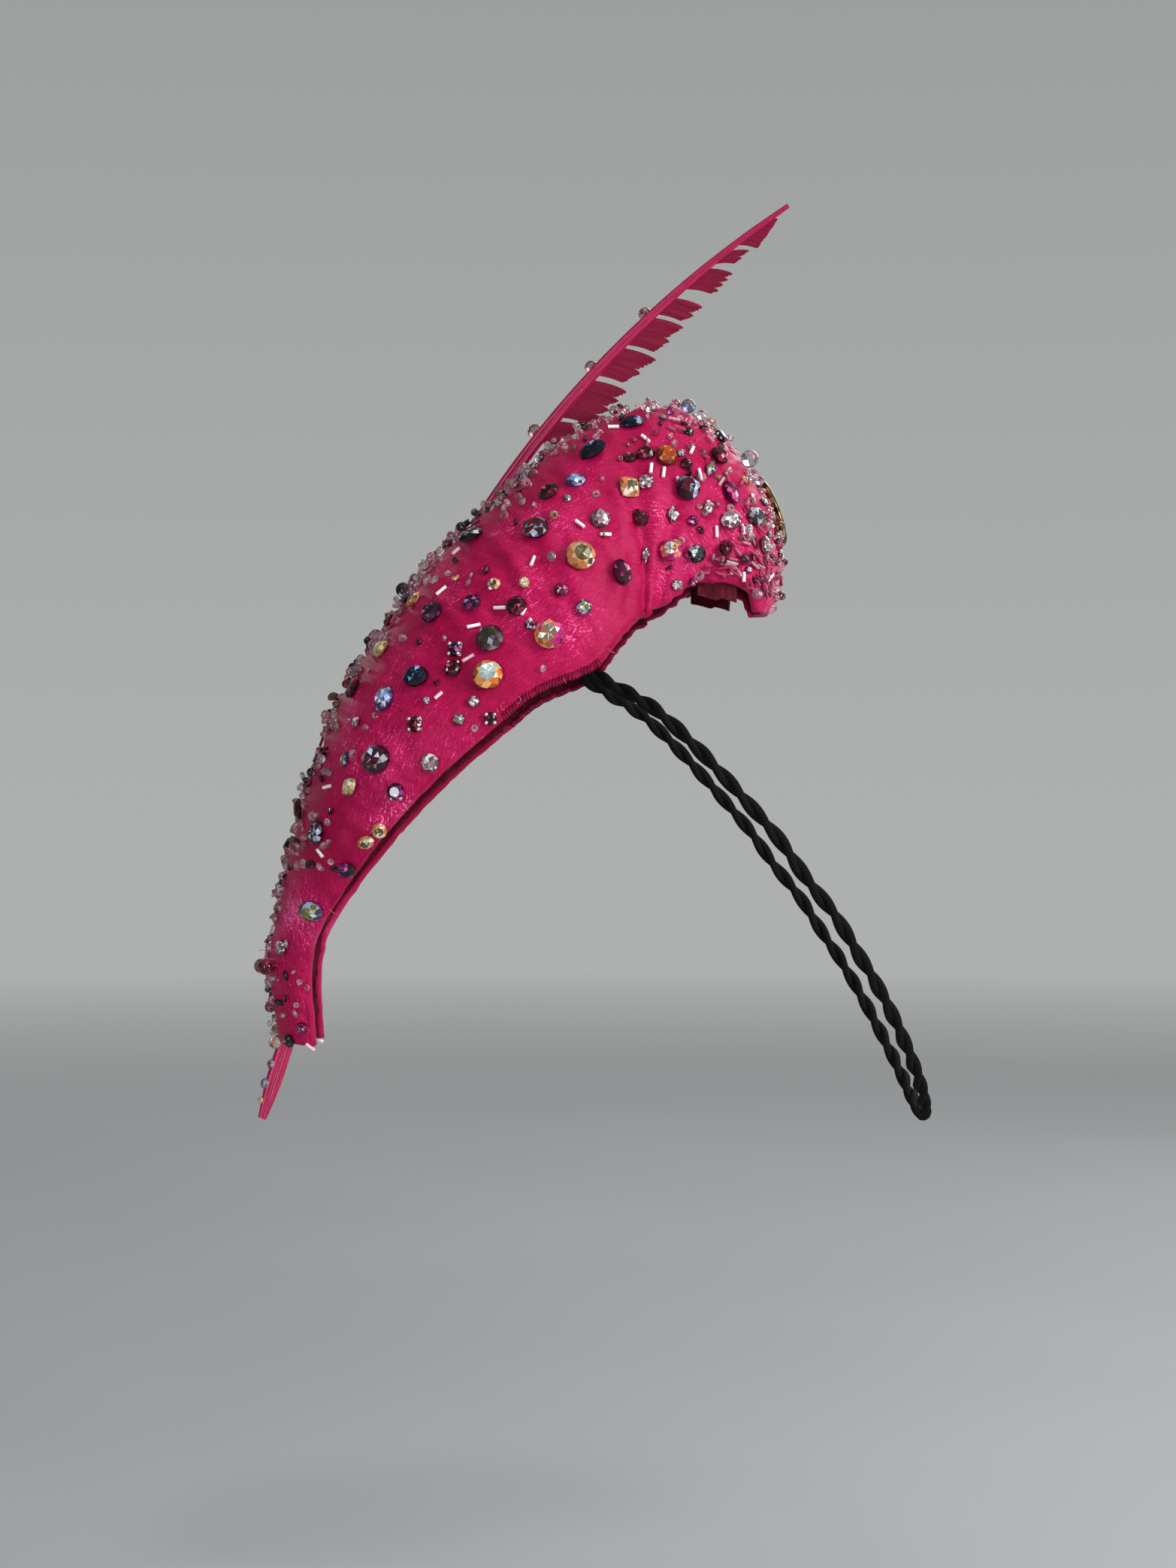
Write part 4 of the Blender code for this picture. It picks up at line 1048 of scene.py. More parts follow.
def outline_radius(cut, turn):
    """Radius of a stone's outline at an angle, for a half width and half height of 1."""
    if cut == "cushion":
        total = abs(math.cos(turn)) ** CUSHION_POWER + abs(math.sin(turn)) ** CUSHION_POWER
        return total ** (-1 / CUSHION_POWER)
    if cut == "pear" and math.sin(turn) > 0:
        return 1 - PEAR_SHOULDER * math.sin(2 * turn) ** 2
    if cut == "navette":
        return 1 - NAVETTE_PINCH * math.sin(2 * turn) ** 2
    return 1.0


def seat_at(x, z):
    """Point on the satin, and the direction away from it, where the sight line through a place meets it."""
    target = Vector((x, 0, z))
    sight = (target - EYE).normalized()
    hit, away, _, _ = satin_surface.ray_cast(EYE, sight)
    if hit is None:
        passes = [satin_surface.find_nearest(target + sight * step) for step in range(*SIGHT_PASSES)]
        hit, away, _, _ = min(passes, key=lambda found: found[3])
    return hit, away


def stone_frame(away, turn):
    """Directions across, up and out of a stone, as the columns of a matrix."""
    upward = (Vector((0, 0, 1)) - away * away.z).normalized()
    spun = Matrix.Rotation(math.radians(turn), 3, away)
    return Matrix((spun @ upward.cross(away), spun @ upward, away)).transposed()


def add_cut_stone(form, stone, hit, away, chance):
    """One cut stone with its flat back on the satin; each facet gets its own share of the colours, which
    paints its shade, reflections and glints.
    """
    fire = TINT_PAINTED_GLINTS[stone.tint]
    frame = stone_frame(away, stone.turn)
    depth = STONE_DEPTH * min(stone.width, stone.height)

    def ring(scale, level, count, shift=0.0):
        places = []
        for corner in range(count):
            turn = math.tau * (corner + shift) / count
            reach = scale * outline_radius(stone.cut, turn)
            across = Vector((math.cos(turn) * stone.width, math.sin(turn) * stone.height, 0)) * reach / 2
            places.append(frame @ (across + Vector((0, 0, level * depth))))
        return places

    back = ring(STONE_BACK_SCALE, 0.0, GIRDLE_FACETS)
    base = hit + away * seat_lift([hit + place for place in back], away, STONE_GAP, SEAT_TRIES)
    rings = [
        back,
        ring(1.0, GIRDLE_LOW, GIRDLE_FACETS),
        ring(1.0, GIRDLE_HIGH, GIRDLE_FACETS),
        ring(STAR_SCALE, STAR_LEVEL, STARS, 0.5),
        ring(TABLE_SCALE, 1.0, STARS),
        ring(TABLE_SCALE * HEART_SCALE, 1.0, STARS, 0.5),
        [frame @ Vector((0, 0, depth))],
    ]
    starts = [len(form.points)]
    for places in rings:
        form.points += [(base + place) * MM for place in places]
        starts.append(starts[-1] + len(places))
    under, low, high, star, table, heart, middle = starts[:-1]
    aim = chance.uniform(0, math.tau)

    def painted_light_share(turn, tones):
        """Share of the colours, painting the light on a facet: painted shade, but for painted reflections in
        a narrow fan to one side, fainter ones and a stray painted glint, and more painted glints at random.
        """
        fan = 0.0
        for flash in PAINTED_FLASHES:
            fan += flash.strength * max(math.cos(turn - aim - flash.turn), 0.0) ** flash.sharpness
        fan = min(fan + (STRAY_PAINTED_FLASH if chance.uniform() < STRAY_CHANCE else 0.0), 1.0)
        dark, bright = tones
        share = min(fan * PAINTED_FLASH_GAIN, 1.0)
        return dark + (bright - dark) * share + chance.uniform() ** 2 * PAINTED_GLINT_SPREAD * fire

    facets = [(tuple(range(under, low)), BACK_TONE)]
    for side in range(GIRDLE_FACETS):
        after = (side + 1) % GIRDLE_FACETS
        turn = math.tau * (side + 0.5) / GIRDLE_FACETS
        facets.append(((under + side, under + after, low + after, low + side), UNDER_TONE))
        facets.append(((low + side, low + after, high + after, high + side), painted_light_share(turn, GIRDLE_TONES)))
    for side in range(STARS):
        after = (side + 1) % STARS
        turn = math.tau * (side + 0.5) / STARS
        corner, between_stars, beyond = high + 2 * side, high + 2 * side + 1, high + 2 * after
        facets += [
            ((star + side, corner, between_stars), painted_light_share(turn - HALF_TURN, HALF_TONES[0])),
            ((star + side, between_stars, beyond), painted_light_share(turn + HALF_TURN, HALF_TONES[1])),
            ((table + after, star + side, beyond, star + after), painted_light_share(turn + KITE_TURN, KITE_TONES)),
            ((table + side, star + side, table + after), painted_light_share(turn, STAR_TONES)),
            ((heart + side, table + side, table + after), painted_light_share(turn, TABLE_TONES)),
            ((heart + side, table + after, heart + after), painted_light_share(turn + KITE_TURN, INNER_TABLE_TONES)),
            ((heart + side, heart + after, middle), painted_light_share(turn + KITE_TURN, HEART_TONES)),
        ]
    for corners, share in facets:
        form.faces.append(corners)
        form.cloth.append(((share, 0.5),) * len(corners))


def add_ball(form, centre, radius, sides, rows):
    """Round bead in millimetres."""
    first = len(form.points)
    form.points.append((centre - Vector((0, 0, radius))) * MM)
    for row in range(1, rows):
        level = math.pi * row / rows
        for side in range(sides):
            turn = math.tau * side / sides
            wide = math.sin(level) * radius
            place = Vector((wide * math.cos(turn), wide * math.sin(turn), -math.cos(level) * radius))
            form.points.append((centre + place) * MM)
    form.points.append((centre + Vector((0, 0, radius))) * MM)
    last = len(form.points) - 1
    corners = []
    for side in range(sides):
        after = (side + 1) % sides
        corners.append((first, first + 1 + after, first + 1 + side))
        corners.append((last, last - sides + side, last - sides + after))
        for row in range(rows - 2):
            low = first + 1 + row * sides
            corners.append((low + side, low + after, low + sides + after, low + sides + side))
    for face in corners:
        form.faces.append(face)
        form.cloth.append(((0.5, 0.5),) * len(face))


def ball_place(hit, away, radius):
    """Centre of a ball that rests on the satin."""
    centre = hit + away * (radius + STONE_GAP)
    for _ in range(SEAT_TRIES):
        nearest, _, _, distance = satin_surface.find_nearest(centre)
        centre += (centre - nearest).normalized() * (radius + STONE_GAP - distance)
    return centre


stone_glasses = {tint.name: stone_glass(tint) for tint in TINTS}
ball_glasses = {tint.name: ball_glass(tint) for tint in TINTS}
chance = np.random.default_rng(11)
clear_of = []
for number, stone in enumerate(STONES, 1):
    hit, away = seat_at(stone.x, stone.z)
    clear_of.append((hit, max(stone.width, stone.height) / 2))
    stone_form = Form()
    round_bead = stone.cut == "bead"
    if round_bead:
        add_ball(stone_form, ball_place(hit, away, stone.width / 2), stone.width / 2, *FINE_BALL)
    else:
        add_cut_stone(stone_form, stone, hit, away, chance)
    glass = (ball_glasses if round_bead else stone_glasses)[stone.tint]
    jewel = stone_form.piece(f"cut_stone_{number:02d}", glass, smooth=round_bead, chart="facet")
    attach(jewel, "root")
    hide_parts(f"crystal_{number:02d}")


# Small stones and settings
# Smaller cut stones and beads fill the gaps between the main ones. Some rhinestones sit in square cups of
# silver metal with four ball prongs.
SMALL_STONES = [
    Stone(0.0, 41.9, 5.2, 4.4, "oval", 0, "ruby"),
    Stone(-4.8, 40.8, 4.4, 3.3, "oval", 0, "ruby"),
    Stone(0.0, 33.6, 4.8, 4.1, "oval", 0, "clear"),
    Stone(-2.2, 23.1, 4.6, 5.2, "oval", 0, "ruby"),
    Stone(7.6, 24.2, 3.7, 5.2, "navette", 0, "clear"),
    Stone(0.2, 12.6, 2.6, 5.2, "navette", 0, "clear"),
    Stone(-18.1, -2.6, 4.4, 4.4, "pear", 0, "aurora_yellow"),
    Stone(-25.1, 2.0, 3.9, 3.9, "round", 0, "fuchsia"),
    Stone(-85.5, -54.9, 4.4, 4.8, "cushion", 0, "foil"),
    Stone(-81.3, -70.6, 5.2, 3.9, "oval", 30, "peach"),
    Stone(-77.4, -67.1, 4.4, 4.4, "round", 0, "peach"),
    Stone(-95.0, -96.6, 3.1, 5.2, "navette", 0, "clear"),
    Stone(-105.5, -101.2, 4.4, 4.4, "round", 0, "clear"),
    Stone(-104.6, -70.8, 4.8, 4.8, "round", 0, "jet"),
    Stone(33.8, 15.5, 3.9, 5.2, "oval", 0, "clear"),
    Stone(18.7, 37.3, 3.5, 5.7, "navette", -20, "aurora_yellow"),
    Stone(21.1, 46.7, 4.8, 4.4, "oval", 0, "navy"),
    Stone(8.7, 3.9, 3.5, 3.1, "oval", 0, "clear"),
    Stone(12.0, 3.1, 3.1, 3.1, "round", 0, "jet"),
    Stone(13.5, 4.8, 2.6, 2.6, "round", 0, "fuchsia"),
    Stone(-52.3, 21.4, 4.4, 4.4, "round", 0, "jet", cup=True),
    Stone(-57.8, 16.4, 4.6, 4.6, "round", 0, "clear"),
    Stone(-67.1, -0.7, 4.4, 4.4, "cushion", 20, "peach"),
    Stone(-96.1, -46.7, 3.1, 2.2, "navette", 40, "aurora_yellow"),
    Stone(-94.4, -48.8, 3.1, 2.0, "navette", -20, "clear"),
    Stone(-83.7, -36.0, 3.1, 3.1, "round", 0, "clear"),
    Stone(-87.0, -46.7, 3.1, 4.4, "pear", 0, "aurora_yellow"),
    Stone(-49.9, -29.9, 3.1, 3.1, "round", 0, "clear"),
    Stone(-54.3, -35.1, 3.1, 3.1, "round", 0, "aurora_yellow"),
    Stone(11.8, 39.0, 3.5, 3.5, "round", 0, "ruby"),
    Stone(13.5, 22.5, 3.1, 3.1, "round", 0, "fuchsia"),
    Stone(-35.3, 4.6, 3.1, 3.1, "round", 0, "foil"),
    Stone(-44.0, 4.1, 3.9, 3.5, "oval", 0, "peach"),
    Stone(-55.2, -14.8, 4.4, 4.4, "round", 0, "plum", cup=True),
    Stone(-56.0, -20.3, 3.9, 3.9, "round", 0, "ruby", cup=True),
    Stone(-66.9, -36.4, 4.4, 4.4, "round", 0, "ruby", cup=True),
    Stone(-62.3, -47.5, 3.9, 3.9, "round", 0, "peach", cup=True),
    Stone(-72.4, -56.5, 3.9, 3.9, "round", 0, "ruby", cup=True),
    Stone(-45.1, -34.7, 3.5, 3.5, "round", 0, "ruby", cup=True),
    Stone(-112.1, -106.6, 4.4, 4.4, "bead", 0, "clear"),
    Stone(-9.2, 54.3, 3.1, 3.1, "bead", 0, "clear"),
    Stone(0.9, 53.8, 3.1, 3.1, "bead", 0, "clear"),
    Stone(2.6, 54.7, 2.6, 2.6, "bead", 0, "clear"),
    Stone(11.8, 54.3, 4.4, 4.4, "bead", 0, "aurora_yellow"),
    Stone(15.7, 52.5, 3.1, 3.1, "bead", 0, "clear"),
    Stone(31.4, 2.2, 3.1, 3.1, "bead", 0, "aurora_yellow"),
    Stone(30.1, 35.5, 2.8, 2.8, "bead", 0, "clear"),
    Stone(32.5, 33.8, 2.8, 2.8, "bead", 0, "clear"),
    Stone(-93.1, -47.1, 2.6, 2.6, "bead", 0, "clear"),
    Stone(-95.9, -50.6, 2.6, 2.6, "bead", 0, "jet"),
    Stone(-103.3, -128.2, 3.9, 3.9, "round", 0, "jet"),
    Stone(-99.8, -124.7, 3.5, 3.5, "round", 0, "fuchsia"),
    Stone(-107.7, -129.1, 3.5, 3.5, "bead", 0, "peach"),
]
Scatter = namedtuple("Scatter", "along_from along_to angle_from angle_to count")
SCATTERS = [
    Scatter(236.0, 298.0, -80.0, 80.0, 90),
    Scatter(190.0, 240.0, -45.0, 45.0, 34),
    Scatter(8.0, 190.0, -20.0, 20.0, 44),
    Scatter(60.0, 200.0, -78.0, 78.0, 40),
]
SCATTER_SIZES = (1.9, 3.3)
SCATTER_TINTS = (
    "clear", "ruby", "plum", "clear", "aurora_yellow", "jet",
    "peach", "fuchsia", "jet_aurora", "foil", "ruby", "plum",
)
SCATTER_CUTS = ("round", "oval", "bead", "round")
SCATTER_OVAL = 0.75
SCATTER_CLEAR = 0.4
FAR_SIDE_FROM = 3.0
QUILL_CLEAR = 3.2
PRONG_RADIUS = 0.62
PRONG_REACH = 0.92
PRONG_HEIGHT = 0.3
PRONG_BALL = (8, 5)
CUP_REACH = 0.56
CUP_HEIGHT = 0.12
CUP_WIRE_RADIUS = 0.35
CUP_WIRE_SIDES = 6


def from_quill(place):
    """Distance from a place to the middle of the quill."""
    return min((place - centre).length for centre in quill_centres)


def add_cup(form, hit, frame, width):
    """Square cup of wire round a stone, with a ball prong at each corner."""
    turns = [math.tau * (corner + 0.5) / 4 for corner in range(4)]
    reach = width / 2 * PRONG_REACH
    for turn in turns:
        prong = Vector((math.cos(turn) * reach, math.sin(turn) * reach, width * PRONG_HEIGHT))
        add_ball(form, hit + frame @ prong, PRONG_RADIUS, *PRONG_BALL)
    wire = []
    for turn in turns + turns[:1]:
        corner = Vector((math.cos(turn), math.sin(turn), CUP_HEIGHT)) * width * CUP_REACH
        wire.append((hit + frame @ corner) * MM)
    form.bar(wire, [CUP_WIRE_RADIUS * MM] * len(wire), CUP_WIRE_SIDES)


silver, tree, shader = new_material("silver cups", 0.25, Metallic=1.0)
tarnish = noise(tree, on_object(tree), 600.0, 3.0)
paint(tree, shader, tarnish, (0.3, (0.35, 0.30, 0.28)), (0.5, (0.75, 0.72, 0.70)), (0.7, (0.92, 0.90, 0.88)))
small_forms = {tint.name: Form() for tint in TINTS}
bead_forms = {tint.name: Form() for tint in TINTS}
cup_form = Form()


def add_small(stone, hit, away):
    """One small stone or bead, added to the others of its tint."""
    clear_of.append((hit.copy(), max(stone.width, stone.height) / 2))
    if stone.cut == "bead":
        centre = ball_place(hit, away, stone.width / 2)
        add_ball(bead_forms[stone.tint], centre, stone.width / 2, *SMALL_BALL)
    else:
        add_cut_stone(small_forms[stone.tint], stone, hit, away, chance)


for side, stones in ((1, SMALL_STONES), (-1, SMALL_STONES + STONES)):
    for stone in stones:
        hit, away = seat_at(stone.x, stone.z)
        hit.y *= side
        away.y *= side
        if side < 0 and (hit.y < FAR_SIDE_FROM or from_quill(hit) < QUILL_CLEAR + stone.width / 2):
            continue
        add_small(stone, hit, away)
        if stone.cup:
            add_cup(cup_form, hit, stone_frame(away, stone.turn), stone.width)
for scatter in SCATTERS:
    for _ in range(scatter.count):
        along = chance.uniform(scatter.along_from, scatter.along_to)
        angle = chance.uniform(scatter.angle_from, scatter.angle_to)
        size = chance.uniform(*SCATTER_SIZES)
        hit, away, _, _ = satin_surface.find_nearest(arch_point(along, angle))
        tint = SCATTER_TINTS[chance.integers(len(SCATTER_TINTS))]
        if min((hit - other).length - radius for other, radius in clear_of) < size / 2 + SCATTER_CLEAR:
            continue
        if from_quill(hit) < QUILL_CLEAR + size / 2:
            continue
        cut = SCATTER_CUTS[chance.integers(len(SCATTER_CUTS))]
        tall = size * (SCATTER_OVAL if cut == "oval" else 1.0)
        turn = 0.0 if cut == "bead" else chance.uniform(0, 180)
        add_small(Stone(0, 0, size, tall, cut, turn, tint), hit, away)
for word, forms, glasses in (
    ("small_stones_", small_forms, stone_glasses),
    ("round_beads_", bead_forms, ball_glasses),
):
    for tint, form in forms.items():
        if form.points:
            cluster = form.piece(word + tint, glasses[tint], smooth=forms is bead_forms, chart="facet")
            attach(cluster, "root")
cups = cup_form.piece("silver_cups", silver)
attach(cups, "root")


# Seed beads
# Glass seed beads of clear, pink and gold are sewn on in heaps: thick along the ridge, over the rear lobe and
# down the front edge of the peak, and thin or missing over the middle of the body.
SEED_RADIUS = 0.66
SEED_HOLE = 0.44
SEED_SPACING = 2.0
SEED_DENSITY = 0.22
SEED_SIZES = (0.8, 1.6)
SEED_ROUND_SIDES = 9
SEED_SECTION_SIDES = 5
SEED_LEAST = 0.05
SEED_LIFTS = (0.3, 0.55)
HEAP_LIFTS = (1.2, 2.4)
RIDGE_BAND = 26.0
HEAP_BAND = 0.55 * RIDGE_BAND
Patch = namedtuple("Patch", "x z reach amount")
PATCHES = [
    Patch(30.0, 20.0, 16.0, 1.0),
    Patch(24.0, 40.0, 16.0, 0.9),
    Patch(8.0, 46.0, 14.0, 0.6),
    Patch(14.0, 8.0, 12.0, 0.9),
    Patch(-10.0, 36.0, 12.0, 0.35),
    Patch(-34.0, 26.0, 9.0, 0.45),
    Patch(-56.0, 6.0, 8.0, 0.5),
    Patch(-84.0, -44.0, 10.0, 0.5),
    Patch(-97.0, -70.0, 12.0, 0.8),
    Patch(-105.0, -110.0, 14.0, 0.7),
    Patch(-60.0, -50.0, 8.0, 0.3),
    Patch(-46.0, -34.0, 7.0, 0.3),
]

sidelong = np.abs(np.degrees(angles))
seed_share = np.zeros((RING_STEPS + 1, ARCH_STEPS + 1))
for patch in PATCHES:
    distance = np.hypot(rings[:, :, 0] - patch.x, rings[:, :, 2] - patch.z)
    seed_share = np.maximum(seed_share, patch.amount * np.exp(-((distance / patch.reach) ** 4)))
seed_share = np.maximum(seed_share, np.exp(-((sidelong / RIDGE_BAND) ** 4))[None, :])
seed_share = np.maximum(seed_share, SEED_LEAST)
for hit, radius in clear_of:
    near = np.linalg.norm(rings - np.array(hit), axis=2) < radius + SEED_RADIUS
    seed_share[near] = 0.0
clumping = np.sin(rings[:, :, 0] * 0.9 + 1.2) + np.sin(rings[:, :, 2] * 0.8) + np.sin(rings[:, :, 1] * 1.1)
seed_share *= np.clip(0.62 + 0.4 * clumping, 0.08, 1.0)
heap_share = np.exp(-((sidelong / HEAP_BAND) ** 4))[None, :] * np.clip(clumping, 0.0, 1.0) * (seed_share > 0)


def new_tree(name, *sockets):
    """Empty node tree with named inputs, its group input and its group output."""
    tree = bpy.data.node_groups.new(name, "GeometryNodeTree")
    tree.is_modifier = True
    for socket, kind in sockets:
        tree.interface.new_socket(socket, in_out="INPUT", socket_type="NodeSocket" + kind)
    tree.interface.new_socket("Made", in_out="OUTPUT", socket_type="NodeSocketGeometry")
    return tree, tree.nodes.new("NodeGroupInput").outputs, tree.nodes.new("NodeGroupOutput").inputs


def grown(name, source, tree, values):
    """Plain piece that a node tree makes from a source mesh, with the tree's inputs given by name."""
    holder = add_object(name + "_source", source)
    grower = holder.modifiers.new(name, "NODES")
    grower.node_group = tree
    for socket in tree.interface.items_tree:
        if socket.in_out == "INPUT" and socket.name in values:
            grower[socket.identifier] = values[socket.name]
    graph = bpy.context.evaluated_depsgraph_get()
    mesh = bpy.data.meshes.new_from_object(holder.evaluated_get(graph), depsgraph=graph)
    bpy.data.objects.remove(holder)
    mesh.name = name
    return add_object(name, mesh)


def bead_glass(name, *stops, clear=0.0):
    """Bright bead glass in a few colours, told apart by the tint each bead was given."""
    glass, tree, shader = new_material(name, 0.08, Transmission_Weight=clear)
    paint(tree, shader, add_node(tree, "ShaderNodeAttribute", attribute_name="tint").outputs["Fac"], *stops)
    return glass


def finish_tree(tree, made, out, material, smooth=True):
    """Joins the instances into plain mesh with one material."""
    real = add_node(tree, "GeometryNodeRealizeInstances", {0: made}).outputs[0]
    if smooth:
        real = add_node(tree, "GeometryNodeSetShadeSmooth", {0: real}).outputs[0]
    painted = add_node(tree, "GeometryNodeSetMaterial", {0: real, "Material": material}).outputs[0]
    tree.links.new(painted, out[0])


def named(tree, attribute, kind="FLOAT"):
    """Value that each point carries under a name."""
    return add_node(tree, "GeometryNodeInputNamedAttribute", {0: attribute}, data_type=kind).outputs[0]


def ring_curve(tree, sides, radius):
    """Closed round curve."""
    made = add_node(tree, "GeometryNodeCurvePrimitiveCircle", {"Resolution": sides, "Radius": radius})
    return made.outputs[0]


def swept(tree, path, section):
    """Mesh of a section swept along a path."""
    return add_node(tree, "GeometryNodeCurveToMesh", {"Curve": path, "Profile Curve": section}).outputs[0]


def chosen_at_random(tree, low, high, seed):
    """Number between two, another one for each point."""
    return add_node(
        tree, "FunctionNodeRandomValue", {2: low, 3: high, "Seed": seed}, data_type="FLOAT"
    ).outputs[1]


def seed_bead_tree(name, material):
    """Seed beads strewn over satin by its density, turned every way and lifted by up to a height."""
    tree, given, out = new_tree(
        name, ("Satin", "Geometry"), ("Bead radius", "Float"), ("Hole radius", "Float"), ("Spacing", "Float"),
        ("Density", "Float"), ("Lowest", "Float"), ("Highest", "Float"), ("Seed", "Int"),
    )
    strewn = add_node(
        tree, "GeometryNodeDistributePointsOnFaces",
        {"Mesh": given["Satin"], "Distance Min": given["Spacing"], "Density Max": given["Density"],
         "Density Factor": named(tree, "share"), "Seed": given["Seed"]},
        distribute_method="POISSON",
    ).outputs
    height = chosen_at_random(tree, given["Lowest"], given["Highest"], given["Seed"])
    lift = add_node(tree, "ShaderNodeVectorMath", {0: strewn["Normal"], "Scale": height}, operation="SCALE")
    moved = add_node(
        tree, "GeometryNodeSetPosition", {"Geometry": strewn["Points"], "Offset": lift.outputs[0]}
    ).outputs[0]
    tinted = add_node(
        tree, "GeometryNodeStoreNamedAttribute",
        {"Geometry": moved, "Name": "tint", "Value": chosen_at_random(tree, 0.0, 1.0, 5)},
        data_type="FLOAT", domain="POINT",
    ).outputs[0]
    round_path = ring_curve(tree, SEED_ROUND_SIDES, given["Bead radius"])
    section = ring_curve(tree, SEED_SECTION_SIDES, given["Hole radius"])
    bead = swept(tree, round_path, section)
    turn = add_node(
        tree, "FunctionNodeRandomValue", {0: (0, 0, 0), 1: (math.tau, math.tau, math.tau), "Seed": 9},
        data_type="FLOAT_VECTOR",
    ).outputs[0]
    placed = add_node(
        tree, "GeometryNodeInstanceOnPoints",
        {"Points": tinted, "Instance": bead, "Rotation": turn,
         "Scale": chosen_at_random(tree, *SEED_SIZES, 13)},
    ).outputs[0]
    finish_tree(tree, placed, out, material)
    return tree


def satin_field(name, share):
    """Copy of the outer face that carries how thickly it is sewn, from 0 to 1."""
    field = bpy.data.meshes.new(name)
    field.from_pydata([tuple(point) for point in satin_form.points], [], satin_form.faces)
    field.attributes.new("share", "FLOAT", "POINT").data.foreach_set("value", share.reshape(-1))
    return field


seed_glass = bead_glass(
    "seed bead glass",
    (0.0, (0.95, 0.80, 0.84)), (0.3, (0.90, 0.45, 0.58)), (0.45, (1.0, 0.97, 0.97)),
    (0.6, (0.60, 0.06, 0.18)), (0.72, (0.95, 0.90, 0.88)), (0.8, (0.55, 0.40, 0.22)),
    (0.88, (0.12, 0.01, 0.04)), (0.95, (0.04, 0.02, 0.05)), clear=0.85,
)
seeds = seed_bead_tree("seed beads", seed_glass)
for name, share, lifts, seed in (
    ("seed_beads", seed_share, SEED_LIFTS, 3),
    ("seed_bead_heaps", heap_share, HEAP_LIFTS, 4),
):
    beads = grown(name, satin_field(name + "_field", share), seeds, {
        "Bead radius": SEED_RADIUS * MM, "Hole radius": SEED_HOLE * MM, "Spacing": SEED_SPACING * MM,
        "Density": SEED_DENSITY / MM ** 2, "Lowest": lifts[0] * MM, "Highest": lifts[1] * MM, "Seed": seed,
    })
    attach(beads, "root")


# Bugles
# Short glass tubes lined with silver lie singly over the body. More of them, clear pink and purple, are sewn
# close side by side down the rear lobe to its hem.
Bugle = namedtuple("Bugle", "x z lean length")
BUGLES = [
    Bugle(-9.4, 49.3, 0, 3.1),
    Bugle(-0.2, 46.0, -50, 3.3),
    Bugle(-24.6, 44.5, 35, 3.3),
    Bugle(15.5, 35.8, -80, 3.5),
    Bugle(-32.9, 10.5, 75, 3.3),
    Bugle(-19.2, 21.4, -40, 3.1),
    Bugle(-12.0, 18.3, 0, 3.1),
    Bugle(-59.1, 2.0, 50, 3.5),
    Bugle(-42.1, -2.8, 0, 3.7),
    Bugle(-50.1, -8.3, 15, 3.7),
    Bugle(-51.4, -17.4, 30, 3.5),
    Bugle(-33.1, -7.4, -65, 3.1),
    Bugle(-60.2, -28.3, 45, 2.6),
    Bugle(20.1, 19.2, 85, 3.3),
    Bugle(27.7, 19.8, 90, 3.1),
    Bugle(30.1, 18.7, 80, 3.1),
    Bugle(35.8, 21.1, -20, 2.2),
    Bugle(24.9, 8.7, 80, 3.3),
    Bugle(28.1, 6.3, 90, 2.8),
    Bugle(35.5, 6.3, 55, 2.8),
    Bugle(18.3, 26.4, -80, 3.5),
    Bugle(1.3, 37.5, 80, 3.1),
    Bugle(4.8, 36.4, 75, 3.1),
    Bugle(-54.7, 13.5, 45, 2.6),
    Bugle(-94.2, -73.7, -50, 2.8),
    Bugle(-92.2, -54.9, 10, 3.1),
    Bugle(-97.4, -129.9, -40, 3.1),
    Bugle(-44.7, 3.9, 80, 3.1),
    Bugle(-35.5, -4.1, 70, 2.2),
    Bugle(-108.6, -81.5, 75, 3.9),
    Bugle(-110.1, -87.0, 75, 4.4),
    Bugle(13.1, 42.7, 60, 2.6),
    Bugle(9.4, 34.0, -70, 2.6),
]
BUGLE_RADIUS = 0.52
FAN_RADIUS = 0.42
BUGLE_SIT = 0.1
BUGLE_CLEAR = 0.6
BUGLE_SIDES = 8
BUGLE_EDGE_ANGLE = math.radians(50)
FAN_LIFT = 0.9
FAN_TILT = (-0.05, 0.25)
Fan = namedtuple("Fan", "along_from along_to angle_from angle_to count shortest longest jitter")
FANS = [
    Fan(262.0, 300.0, -88.0, -46.0, 105, 2.0, 3.4, 22.0),
    Fan(262.0, 300.0, 46.0, 88.0, 105, 2.0, 3.4, 22.0),
    Fan(225.0, 300.0, -46.0, 46.0, 100, 2.2, 3.4, 60.0),
    Fan(6.0, 225.0, -22.0, 22.0, 150, 2.2, 3.2, 80.0),
]


def bugle_tree(name, material):
    """Bugles laid on points that carry their own direction, length and tint."""
    tree, given, out = new_tree(name, ("Points", "Geometry"), ("Radius", "Float"), ("Sides", "Int"))
    turned = add_node(
        tree, "FunctionNodeAlignRotationToVector", {"Vector": named(tree, "ahead", "FLOAT_VECTOR")}, axis="Z"
    ).outputs[0]
    size = add_node(tree, "ShaderNodeCombineXYZ", {0: 1.0, 1: 1.0, 2: named(tree, "length")}).outputs[0]
    rod = add_node(
        tree, "GeometryNodeMeshCylinder",
        {"Vertices": given["Sides"], "Radius": given["Radius"], "Depth": 1.0},
    ).outputs[0]
    placed = add_node(
        tree, "GeometryNodeInstanceOnPoints",
        {"Points": given["Points"], "Instance": rod, "Rotation": turned, "Scale": size},
    ).outputs[0]
    finish_tree(tree, placed, out, material, smooth=False)
    return tree


